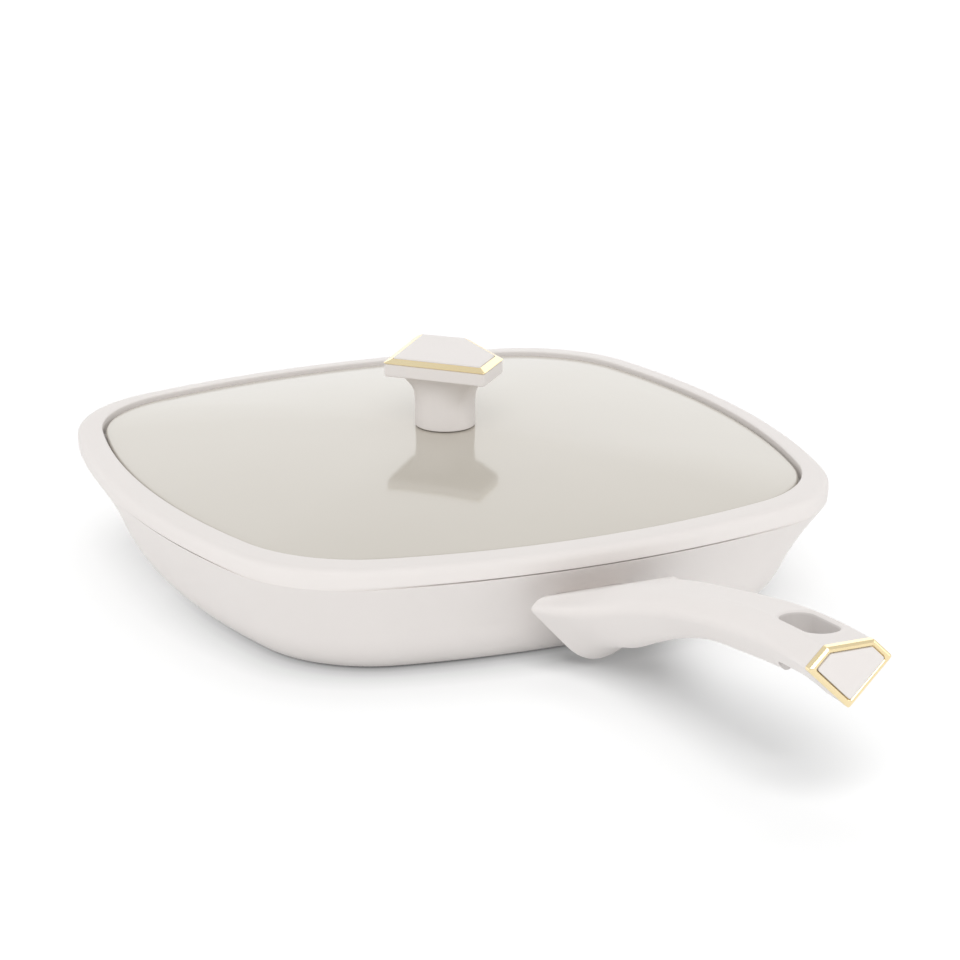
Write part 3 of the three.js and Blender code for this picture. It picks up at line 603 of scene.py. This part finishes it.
def cutSlot(obj):
    h = handleSize
    cutter = addObject("slotCutter", slotCutter())
    mod = obj.modifiers.new("slot", "BOOLEAN")
    mod.operation = "DIFFERENCE"
    mod.solver = "EXACT"
    mod.object = cutter
    mesh = creased(flatten(obj), 32)
    bpy.data.objects.remove(cutter)
    shade = mesh.attributes.new("paintedSlotShade", "FLOAT", "FACE")
    for face in mesh.polygons:  # marks the slot's upright walls, where shade is painted
        x, y = np.array(face.center)[:2] / mm
        alongSlot = abs(x - h["slotMiddle"]) < h["slotHalfLength"] + h["slotNear"]
        inside = alongSlot and abs(y) < h["slotHalfWidth"] + h["slotNear"]
        shade.data[face.index].value = float(inside and abs(face.normal.z) < 0.5)


def paintedSlotShade(mat, amount):  # painted shade: those walls are darkened to stand in for the shadow deep in the slot
    tree = mat.node_tree
    mask = addNode(tree, "ShaderNodeAttribute", -600, 450, attribute_name="paintedSlotShade")
    dim = addNode(tree, "ShaderNodeMapRange", -400, 450)
    dim.inputs["To Min"].default_value = 1.0
    dim.inputs["To Max"].default_value = amount
    scaled = addNode(tree, "ShaderNodeVectorMath", -200, 300, operation="SCALE")
    tree.links.new(mask.outputs["Fac"], dim.inputs["Value"])
    tree.links.new(tree.nodes["tone"].outputs["Colour"], scaled.inputs[0])
    tree.links.new(dim.outputs["Result"], scaled.inputs["Scale"])
    tree.links.new(scaled.outputs[0], tree.nodes["Principled BSDF"].inputs["Base Color"])


def bracketMesh():
    b = bracketSize
    rings = [bracketRing(b["start"], 0), bracketRing(b["face"] - b["edge"], 0)]
    rings.append(bracketRing(b["face"], -b["edge"]))
    return creased(skin("handleBracket", rings), 35)


handleGrip = addPiece("handleGrip", gripMesh(), paint["ivoryMoulding"])
cutSlot(handleGrip)
# painted shade inside the slot: its walls are darkened by slotShadowDim
paintedSlotShade(paint["ivoryMoulding"], handleSize["slotShadowDim"])
handleBracket = addPiece("handleBracket", bracketMesh(), paint["ivoryCoating"])
print("handle:", len(handleGrip.data.polygons), "faces")


# gem frames and inlays

gemSize = dict(
    half=31, flat=15.5, flatReach=15.5, tip=29, offset=2.5, round=0.9, lidMiddle=58.0, knobHeight=30.5,
    frameHeight=1.9, frameWidth=2.6, frameProud=0.3, bevelRun=2.75, bevelDrop=1.35,
    footRound=0.4, softRun=0.15, softDrop=0.08, innerEdge=0.1, seatGap=0.1,
    inlayProud=0.3, inlayGap=0.3, inlayEdge=0.3, inlayFlat=2,
)
endSize = dict(
    depth=3.4, width=1.8, proud=0.2, seatGap=0.1, footRound=0.4, bevel=0.8, innerEdge=0.25, trayGap=0.3,
    inlayGap=0.3, inlayThick=1.6, inlayProud=0.3,
)
headTop = gemSize["lidMiddle"] + gemSize["knobHeight"] - gemSize["inlayProud"] - gemSize["frameHeight"]


def gemRing(inset, z):
    g = gemSize
    corners = gemCorners(g["half"], g["flat"], g["flatReach"], g["tip"]) + np.array([0, g["offset"]])
    return level(roundCorners(insetCorners(corners, inset), [g["round"]] * 5, 6, 16), z)


def endRing(inset, x):
    return handleRing(x, inset, handleSize["end"])


def frameLoop(name, ringAt, bottom, top):
    g = gemSize
    out, inner, foot = -g["frameProud"], g["frameWidth"], g["footRound"]
    run, drop, edge = g["softRun"], g["softDrop"], g["innerEdge"]
    bevelFoot, bevelHead = top - g["bevelDrop"], out + g["bevelRun"]
    steps = [(out + foot, bottom), (out + foot / 8, bottom + foot * 7 / 8), (out, bottom + foot * 9 / 8)]
    steps += [(out, bevelFoot - drop), (out + run / 3, bevelFoot + drop / 4), (out + run, bevelFoot + drop)]
    steps += [(bevelHead - run, top - drop), (bevelHead, top)]
    steps += [(inner - edge, top), (inner, top - edge), (inner, bottom)]
    return creased(skin(name, [ringAt(inset, height) for inset, height in steps], loop=True), 24)


def inlaySolid(name, ringAt, inset, bottom, top):
    edge, flat = gemSize["inlayEdge"], gemSize["inlayFlat"]
    steps = [(0, bottom), (0, top - edge), (edge / 3, top - 0.3 * edge), (edge, top), (flat, top)]
    return creased(skin(name, [ringAt(inset + more, height) for more, height in steps]), 40)


def endFrameMesh():  # a shallow tray: back wall behind the inlay
    e = endSize
    back, front = handleSize["end"] + e["seatGap"], handleSize["end"] + e["depth"]
    out, inner, edge = -e["proud"], e["width"], e["innerEdge"]
    steps = [(out + e["footRound"], back), (out, back + e["footRound"])]
    for run, drop in ((0, 1), (0.15, 0.8), (0.82, 0.125), (1, 0)):  # a bevel with softened edges
        steps.append((out + run * e["bevel"], front - drop * e["bevel"]))
    steps += [(inner - edge, front), (inner, front - edge), (inner, front - e["inlayThick"] - e["trayGap"])]
    return creased(skin("handleEndFrame", [endRing(inset, x) for inset, x in steps]), 28)


def knobGem():
    g = gemSize
    low, high = headTop + g["seatGap"], headTop + g["frameHeight"]
    frameMesh = frameLoop("knobFrame", gemRing, low, high)
    inlayMesh = inlaySolid("knobInlay", gemRing, g["frameWidth"] + g["inlayGap"], low, high + g["inlayProud"])
    frameObj = addPiece("knobFrame", frameMesh, paint["paleGold"])
    return frameObj, addPiece("knobInlay", inlayMesh, paint["ivoryInlay"])


def handleGem():
    e = endSize
    front = handleSize["end"] + e["depth"]
    low, high = front - e["inlayThick"], front + e["inlayProud"]
    inlayMesh = inlaySolid("handleEndInlay", endRing, e["width"] + e["inlayGap"], low, high)
    frameObj = addPiece("handleEndFrame", endFrameMesh(), paint["paleGold"])
    return frameObj, addPiece("handleEndInlay", inlayMesh, paint["ivoryInlay"])


knobFrame, knobInlay = knobGem()
handleEndFrame, handleEndInlay = handleGem()
print("gem frames and inlays ready")


# lid

lidSize = dict(gap=1.4, thickness=4, edgeTop=47.5, rise=10.5, edgeRound=1.2, hole=5)
# how far out the rings between the hole and the edge lie
lidShares = (
    0.09, 0.14, 0.2, 0.27, 0.34, 0.41, 0.48, 0.55, 0.62, 0.69, 0.75, 0.81, 0.86, 0.91, 0.95, 0.975,
)


def lidShell():  # a flat plate, with its top at height zero
    edge = drawIn(level(lidOpening(), 0), lidSize["gap"])
    radius = np.hypot(edge[:, 0], edge[:, 1])
    hole = drawIn(edge, radius - lidSize["hole"])
    r, t = lidSize["edgeRound"], lidSize["thickness"]
    outer = drawIn(edge, r)
    face = [hole] + [edge * share for share in lidShares]
    rings = [lift(ring, -t) for ring in face + [outer]]
    rings += easeRings(lift(outer, -t), lift(edge, -t), lift(edge, r - t), 5)
    rings += [lift(edge, -r)] + easeRings(lift(edge, -r), edge, outer, 6)
    rings += reversed(face)
    mesh = skin("lidPlate", rings, loop=True)
    share = np.concatenate([np.minimum(1, np.hypot(ring[:, 0], ring[:, 1]) / radius) for ring in rings])
    layer = mesh.attributes.new("domeShare", "FLOAT", "POINT")
    layer.data.foreach_set("value", share.astype(np.float32))
    return mesh


def domeTree():  # raises the flat lid into its dome
    inputs = {"Plate": shapeSocket, "Rise": numberSocket, "Edge height": numberSocket}
    tree, gin, gout = newTree("lidDome", "GeometryNodeTree", inputs, dict(Dome=shapeSocket))
    size = gin.outputs
    share = addNode(tree, "GeometryNodeInputNamedAttribute", -900, -200, data_type="FLOAT")
    share.inputs["Name"].default_value = "domeShare"
    square = calc(tree, -650, -200, "MULTIPLY", share.outputs["Attribute"], share.outputs["Attribute"])
    rest = calc(tree, -450, -200, "SUBTRACT", 1, square)
    height = calc(tree, -250, -200, "MULTIPLY_ADD", rest, size["Rise"], size["Edge height"])
    shift = addNode(tree, "ShaderNodeCombineXYZ", -50, -200)
    move = addNode(tree, "GeometryNodeSetPosition", 150)
    tree.links.new(height, shift.inputs["Z"])
    tree.links.new(size["Plate"], move.inputs["Geometry"])
    tree.links.new(shift.outputs[0], move.inputs["Offset"])
    endTree(tree, move.outputs[0], paint["opalGlass"], gout)
    return tree


def makeLid():
    obj = addPiece("lidPlate", lidShell(), paint["opalGlass"])
    values = {"Rise": lidSize["rise"] * mm, "Edge height": lidSize["edgeTop"] * mm}
    mesh = runTree(obj, domeTree(), values)
    mesh.attributes.remove(mesh.attributes["domeShare"])
    creased(mesh, 50)
    return obj


lidPlate = makeLid()
print("lid:", len(lidPlate.data.polygons), "faces")


# knob

knobSize = dict(
    seat=58.3, neck=12, neckStraight=8, neckEdge=0.6, flareBend=5.2, flareInset=5,
    head=5.6, underRun=0.7, underRise=0.5, sideFoot=1.2, topEdge=0.3, gasket=8.8, gasketDeep=1.5,
)


def knobMesh():
    k = knobSize
    seat, neck, headBottom = k["seat"], k["neck"], headTop - k["head"]

    def neckRing(radius, z):  # a circle with the gem's point count, for the flare to blend
        gem = gemRing(0, z)
        angle = np.arctan2(gem[:, 1] - gemSize["offset"] / 2, gem[:, 0])
        return np.c_[radius * np.cos(angle), radius * np.sin(angle), gem[:, 2]]

    rings = [neckRing(k["gasket"], seat + k["gasketDeep"]), neckRing(k["gasket"], seat)]
    rings.append(neckRing(neck - k["neckEdge"], seat))
    rings += easeRings(rings[-1], neckRing(neck, seat), neckRing(neck, seat + k["neckEdge"]), 4)
    flareFoot = neckRing(neck, seat + k["neckStraight"])
    flareBend = neckRing(neck, headBottom - k["flareBend"])
    rings += [blendRings(rings[-1], flareFoot, 0.5), flareFoot]
    rings += easeRings(flareFoot, flareBend, gemRing(k["flareInset"], headBottom), 26)
    under = gemRing(k["underRun"], headBottom + k["underRise"])
    corner, side = gemRing(0, headBottom + k["underRise"]), gemRing(0, headBottom + k["sideFoot"])
    rings += [blendRings(rings[-1], under, 0.5), under] + easeRings(under, corner, side, 5)
    rings += [gemRing(0, headTop - k["topEdge"]), gemRing(k["topEdge"], headTop)]
    return creased(skin("knobBody", rings), 34)


knobBody = addPiece("knobBody", knobMesh(), paint["ivoryMoulding"])


# knob screw, washer, gaskets and insert

screwSize = dict(
    radius=2.5, length=15, thread=0.8, threadDeep=0.25,
    head=5, headHeight=3, headTop=50.7, headRound=1.0, headStep=0.35, socket=1.8, socketDeep=1.4,
)
# inner radius, outer radius, bottom, top, softened edge
ringSizes = dict(
    knobWasher=(2.8, 8, 51.0, 52.2, 0.2),
    gasketBelow=(5, 8.5, 52.5, 53.7, 0.3),
    gasketAbove=(5, 8.5, 58.3, 59.5, 0.3),
    knobInsert=(2.8, 4.2, 59.8, 70.8, 0.2),
)


def threadedShank(low, high):  # stepped rings stand for the thread
    radius, pitch = screwSize["radius"], screwSize["thread"]
    points = []
    z = low
    while z + pitch < high:
        points += [(radius, z), (radius - screwSize["threadDeep"], z + pitch / 2)]
        z += pitch
    return points + [(radius, high)]


def screwMesh():
    s = screwSize
    head, soft, step = s["head"], s["headRound"], s["headStep"]
    top, face, tip = s["headTop"], s["headTop"] - s["headHeight"], s["headTop"] + s["length"]
    profile = [(axis, face + s["socketDeep"]), (s["socket"], face + s["socketDeep"]), (s["socket"], face)]
    profile += [(head - soft, face), (head - step, face + step), (head, face + soft), (head, top)]
    return lathe("knobScrew", profile + threadedShank(top, tip) + [(axis, tip)])


def ringMesh(name):
    inner, outer, low, high, edge = ringSizes[name]
    profile = [(inner, low + edge), (inner + edge, low), (outer - edge, low), (outer, low + edge)]
    profile += [(outer, high - edge), (outer - edge, high), (inner + edge, high), (inner, high - edge)]
    return lathe(name, profile + profile[:1])


knobFixings = [(addPiece("knobScrew", screwMesh(), paint["screwSteel"]), "knob_screw", "screw_steel")]
for name, node, finish, slot in (
    ("knobWasher", "knob_screw_washer", "screwSteel", "screw_steel"),
    ("gasketBelow", "knob_lower_gasket", "paleSilicone", "gasket_silicone"),
    ("gasketAbove", "knob_upper_gasket", "paleSilicone", "gasket_silicone"),
    ("knobInsert", "knob_insert", "turnedBrass", "insert_brass"),
):
    knobFixings.append((addPiece(name, ringMesh(name), paint[finish]), node, slot))
print("knob and fixings ready")


# base plate with pressed-in studs

plateSize = dict(
    radius=95, thickness=1.6, edge=0.4, stud=2.1, studPitch=11, studField=84, studHole=16,
    studRows=22,  # even, so every other row can be told by its index
    studFoot=0.04, studProud=0.12, studEdge=0.3, studTop=0.8,
)
latheMarks = dict(scale=260, waver=0.6, strength=0.18, deep=0.3)


def markPlate(mat):  # fine circular lathe marks
    tree = mat.node_tree
    coord = addNode(tree, "ShaderNodeTexCoord", -1300, -500)
    rings = addNode(tree, "ShaderNodeTexWave", -1000, -500, wave_type="RINGS", rings_direction="Z")
    rings.inputs["Scale"].default_value = latheMarks["scale"]
    rings.inputs["Distortion"].default_value = latheMarks["waver"]
    marks = addNode(tree, "ShaderNodeBump", -60, -420)
    marks.inputs["Strength"].default_value = latheMarks["strength"]
    marks.inputs["Distance"].default_value = latheMarks["deep"] * mm
    tree.links.new(coord.outputs["Object"], rings.inputs["Vector"])
    tree.links.new(rings.outputs["Fac"], marks.inputs["Height"])
    tree.links.new(tree.nodes["grainBump"].outputs["Normal"], marks.inputs["Normal"])
    tree.links.new(marks.outputs["Normal"], tree.nodes["Principled BSDF"].inputs["Normal"])


def plateMesh():
    p = plateSize
    r, t, edge, low = p["radius"], p["thickness"], p["edge"], p["studFoot"] + p["studProud"]
    profile = [(axis, low)] + [(r * share, low) for share in (0.25, 0.5, 0.75)]
    return lathe("basePlate", profile + [(r - edge, low), (r, low + edge), (r, t), (axis, t)], 160)


def studTree():
    inputs = dict(Stud=shapeSocket)
    inputs.update(dict.fromkeys(("Pitch", "Outer field", "Inner field"), numberSocket))
    tree, gin, gout = newTree("plateStuds", "GeometryNodeTree", inputs, dict(Studs=shapeSocket))
    link, size = tree.links.new, gin.outputs
    rows = plateSize["studRows"]
    rowGap = math.sqrt(3) / 2
    grid = addNode(tree, "GeometryNodeMeshGrid", -800, 200)
    grid.inputs["Vertices X"].default_value = rows
    grid.inputs["Vertices Y"].default_value = rows
    link(calc(tree, -1050, 300, "MULTIPLY", size["Pitch"], rows - 1), grid.inputs["Size X"])
    link(calc(tree, -1050, 150, "MULTIPLY", size["Pitch"], (rows - 1) * rowGap), grid.inputs["Size Y"])
    index = addNode(tree, "GeometryNodeInputIndex", -1050, -100)
    odd = calc(tree, -850, -100, "MODULO", index.outputs[0], 2)
    stagger = calc(tree, -650, -100, "MULTIPLY", calc(tree, -750, -100, "SUBTRACT", odd, 0.5), 0.5)
    shift = addNode(tree, "ShaderNodeCombineXYZ", -500, -100)
    link(calc(tree, -600, -100, "MULTIPLY", stagger, size["Pitch"]), shift.inputs["X"])
    move = addNode(tree, "GeometryNodeSetPosition", -300, 150)
    link(grid.outputs["Mesh"], move.inputs["Geometry"])
    link(shift.outputs[0], move.inputs["Offset"])
    place = addNode(tree, "GeometryNodeInputPosition", -500, -350)
    length = addNode(tree, "ShaderNodeVectorMath", -300, -350, operation="LENGTH")
    link(place.outputs[0], length.inputs[0])
    outside = calc(tree, -100, -300, "GREATER_THAN", length.outputs["Value"], size["Outer field"])
    middle = calc(tree, -100, -450, "LESS_THAN", length.outputs["Value"], size["Inner field"])
    drop = addNode(tree, "GeometryNodeDeleteGeometry", 150, 150, domain="POINT")
    link(move.outputs[0], drop.inputs["Geometry"])
    link(calc(tree, 50, -350, "MAXIMUM", outside, middle), drop.inputs["Selection"])
    studs = addNode(tree, "GeometryNodeInstanceOnPoints", 350, 150)
    link(drop.outputs[0], studs.inputs["Points"])
    link(size["Stud"], studs.inputs["Instance"])
    endTree(tree, studs.outputs[0], paint["studMetal"], gout)
    return tree


def makeStuds():
    p = plateSize
    foot, wide, edge, top = p["studFoot"], p["stud"], p["studEdge"], p["studTop"]
    profile = [(axis, foot), (wide - edge, foot), (wide, edge), (wide, top), (axis, top)]
    obj = addPiece("plateStuds", lathe("plateStuds", profile, 16), paint["studMetal"])
    values = {"Outer field": p["studField"] * mm, "Inner field": p["studHole"] * mm}
    values["Pitch"] = p["studPitch"] * mm
    runTree(obj, studTree(), values)
    return obj


markPlate(paint["turnedSteel"])
basePlate = addPiece("basePlate", plateMesh(), paint["turnedSteel"])
plateStuds = makeStuds()
print("base plate and studs ready")


# what stands for what

for piece, node, body, slot in (
    (panBody, "pan_body", "pan", "coated_casting"),
    (handleBracket, "handle_bracket", "pan", "coated_casting"),
    (handleGrip, "handle_grip", "pan", "handle_plastic"),
    (handleEndFrame, "handle_end_frame", "pan", "gold_trim"),
    (handleEndInlay, "handle_end_inlay", "pan", "inlay_plastic"),
    (basePlate, "induction_plate", "pan", "base_steel"),
    (lidPlate, "lid_plate", "lid", "lid_glass"),
    (knobBody, "knob_body", "lid", "handle_plastic"),
    (knobFrame, "knob_frame", "lid", "gold_trim"),
    (knobInlay, "knob_inlay", "lid", "inlay_plastic"),
):
    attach(piece, body)
    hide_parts(node)
for piece, slot in ((grillRibs, "coated_casting"), (plateStuds, "base_steel")):
    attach(piece, "pan")
for piece, node, slot in knobFixings:
    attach(piece, "lid")
    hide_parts(node)
for node in ("handle_bolt", "handle_bolt_washer"):
    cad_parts[node].data.materials.clear()
    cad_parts[node].data.materials.append(paint["screwSteel"])


# camera

viewSize = dict(
    place=(1.2984, -0.5983, 0.4905), target=(-0.00354, 0.01708, 0.03128), lens=140.03, sensor=36, far=50,
)


def aim(obj, place, target):
    obj.location = place
    obj.rotation_euler = (Vector(target) - Vector(place)).to_track_quat("-Z", "Y").to_euler()


camera = addObject("photoCamera", bpy.data.cameras.new("photoCamera"))
camera.data.lens = viewSize["lens"]
camera.data.sensor_width = viewSize["sensor"]
camera.data.clip_end = viewSize["far"]
aim(camera, viewSize["place"], viewSize["target"])
scene.camera = camera


# floor, and a painted contact shadow: a soft dark sheet round the edge where the base meets it

floorSize = dict(half=9, grey=0.25, glow=0.22, rough=0.9)  # the glow keeps the pan's own shadow light
contactSize = dict(
    level=0.02, front=-0.43, least=0.3, tone=(0.05, 0.047, 0.045),
    steps=((-12, 1.0), (0, 0.95), (3, 0.52), (7, 0.32), (13, 0.16), (20, 0.06), (27, 0.0)),
)


def matteMaterial(name, tone):
    mat = bpy.data.materials.new(name)
    mat.use_nodes = True
    bsdf = mat.node_tree.nodes["Principled BSDF"]
    bsdf.inputs["Base Color"].default_value = (*tone, 1)
    bsdf.inputs["Roughness"].default_value = floorSize["rough"]
    bsdf.inputs["Specular IOR Level"].default_value = 0.0
    return mat, bsdf


def layFloor():
    half = floorSize["half"]
    mesh = bpy.data.meshes.new("studioFloor")
    corners = [(-half, -half, 0), (half, -half, 0), (half, half, 0), (-half, half, 0)]
    mesh.from_pydata(corners, [], [(0, 1, 2, 3)])
    mat, bsdf = matteMaterial("studioFloor", [floorSize["grey"]] * 3)
    bsdf.inputs["Emission Color"].default_value = (1, 1, 1, 1)
    bsdf.inputs["Emission Strength"].default_value = floorSize["glow"]
    return addPiece("studioFloor", mesh, mat)


# painted contact shadow: a dark sheet whose alpha fades outward from the base, strongest in front
def contactShade():
    base = drawIn(baseOutline(contactSize["level"]), panSize["baseRun"])
    rings = [drawIn(base, -out) for out, shade in contactSize["steps"]]
    count = len(base)
    faces = [tuple(range(count))]
    for r in range(len(rings) - 1):
        for i in range(count):
            j = (i + 1) % count
            faces.append((r * count + i, (r + 1) * count + i, (r + 1) * count + j, r * count + j))
    mesh = bpy.data.meshes.new("contactShade")
    mesh.from_pydata((np.vstack(rings) * mm).tolist(), [], faces)
    angle = np.arctan2(base[:, 1], base[:, 0]) - contactSize["front"]
    facing = np.maximum(contactSize["least"], np.cos(angle))  # strongest in front, faint at the sides
    shades = np.concatenate([shade * facing for out, shade in contactSize["steps"]])
    layer = mesh.attributes.new("shade", "FLOAT", "POINT")
    layer.data.foreach_set("value", shades.astype(np.float32))
    mat, bsdf = matteMaterial("contactShade", contactSize["tone"])
    mask = addNode(mat.node_tree, "ShaderNodeAttribute", -400, 0, attribute_name="shade")
    mat.node_tree.links.new(mask.outputs["Fac"], bsdf.inputs["Alpha"])
    return addPiece("contactShade", mesh, mat)


studioFloor = layFloor()
contactShade()


# light

lightSize = dict(
    dome=0.70, backdrop=0.8,
    keyPower=0.95, keySpread=30, keyFrom=(0.69, -0.32, 0.65),
    floorPower=8.45, floorSpread=30, floorFrom=(0.689, -0.278, 0.669),
    backPower=1.56, backSpread=50, backFrom=(-0.2, 0.1, 0.97),
    sidePower=0.65, sideSpread=60, sideFrom=(0.42, 0.88, 0.1),
    cardWide=3.4, cardTall=1.9, cardFoot=0.01, cardFrom=(-1.95, 0.95),
    cardLow=1.2, cardHigh=1.6, cardFade=0.8,
)


def studioWorld():  # a soft dome, with a paler backdrop for what is seen directly or mirrored
    world = bpy.data.worlds.new("studioWorld")
    scene.world = world
    world.use_nodes = True
    tree = world.node_tree
    dome = tree.nodes["Background"]
    dome.inputs["Color"].default_value = (1, 1, 1, 1)
    dome.inputs["Strength"].default_value = lightSize["dome"]
    backdrop = addNode(tree, "ShaderNodeBackground", 0, -200)
    backdrop.inputs["Color"].default_value = (*[lightSize["backdrop"]] * 3, 1)
    backdrop.inputs["Strength"].default_value = 1.0
    path = addNode(tree, "ShaderNodeLightPath", -500, 300)
    seen = calc(tree, -300, 300, "MAXIMUM", path.outputs["Is Camera Ray"], path.outputs["Is Glossy Ray"])
    seen = calc(tree, -100, 300, "MAXIMUM", seen, path.outputs["Is Transmission Ray"])
    mix = addNode(tree, "ShaderNodeMixShader", 250, 0)
    tree.links.new(seen, mix.inputs["Fac"])
    tree.links.new(dome.outputs[0], mix.inputs[1])
    tree.links.new(backdrop.outputs[0], mix.inputs[2])
    tree.links.new(mix.outputs[0], tree.nodes["World Output"].inputs["Surface"])


def addSun(name, size, turn=1):
    data = bpy.data.lights.new(name, "SUN")
    data.energy = lightSize[size + "Power"]
    data.angle = math.radians(lightSize[size + "Spread"])
    lamp = addObject(name, data)
    x, y, z = lightSize[size + "From"]
    aim(lamp, (x * turn, y * turn, z), (0, 0, 0))
    lamp.visible_camera = False
    return lamp


def lightCard():  # a glowing card behind the pan, mirrored in the lid
    s = lightSize
    middle = Vector(s["cardFrom"])
    away = middle.normalized()
    along = Vector((-away.y, away.x)) * s["cardWide"] / 2
    left, right = middle + along, middle - along
    low, high = s["cardFoot"], s["cardTall"]
    mesh = bpy.data.meshes.new("lightCard")
    mesh.from_pydata([(*left, low), (*right, low), (*right, high), (*left, high)], [], [(0, 1, 2, 3)])
    mat = bpy.data.materials.new("lightCard")
    mat.use_nodes = True
    tree = mat.node_tree
    tree.nodes.remove(tree.nodes["Principled BSDF"])
    coord = addNode(tree, "ShaderNodeTexCoord", -700)
    parts = addNode(tree, "ShaderNodeSeparateXYZ", -500)
    fade = addNode(tree, "ShaderNodeMapRange", -300)
    fade.inputs["From Max"].default_value = s["cardFade"]
    fade.inputs["To Min"].default_value = s["cardLow"]
    fade.inputs["To Max"].default_value = s["cardHigh"]
    glow = addNode(tree, "ShaderNodeEmission", -100)
    tree.links.new(coord.outputs["Object"], parts.inputs[0])
    tree.links.new(parts.outputs["Z"], fade.inputs["Value"])
    tree.links.new(fade.outputs["Result"], glow.inputs["Strength"])
    tree.links.new(glow.outputs[0], tree.nodes["Material Output"].inputs["Surface"])
    card = addPiece("lightCard", mesh, mat)
    card.visible_camera = False
    return card


studioWorld()
addSun("softKey", "key")
addSun("fillRight", "side")
addSun("fillLeft", "side", -1)
floorSun = addSun("floorSun", "floor")  # brings the floor up to white
backSun = addSun("backSun", "back")  # soft shadow in front of the pan
floorOnly = bpy.data.collections.new("floorOnly")
floorOnly.objects.link(studioFloor)
for lamp in (floorSun, backSun):
    lamp.light_linking.receiver_collection = floorOnly
handleOnly = bpy.data.collections.new("handleOnly")
for piece in (handleGrip, handleEndFrame, handleEndInlay):
    handleOnly.objects.link(piece)
floorSun.light_linking.blocker_collection = handleOnly  # its shadow is the handle's alone
lightCard()
print("camera, floor and light ready")

scene.view_settings.view_transform = "Standard"
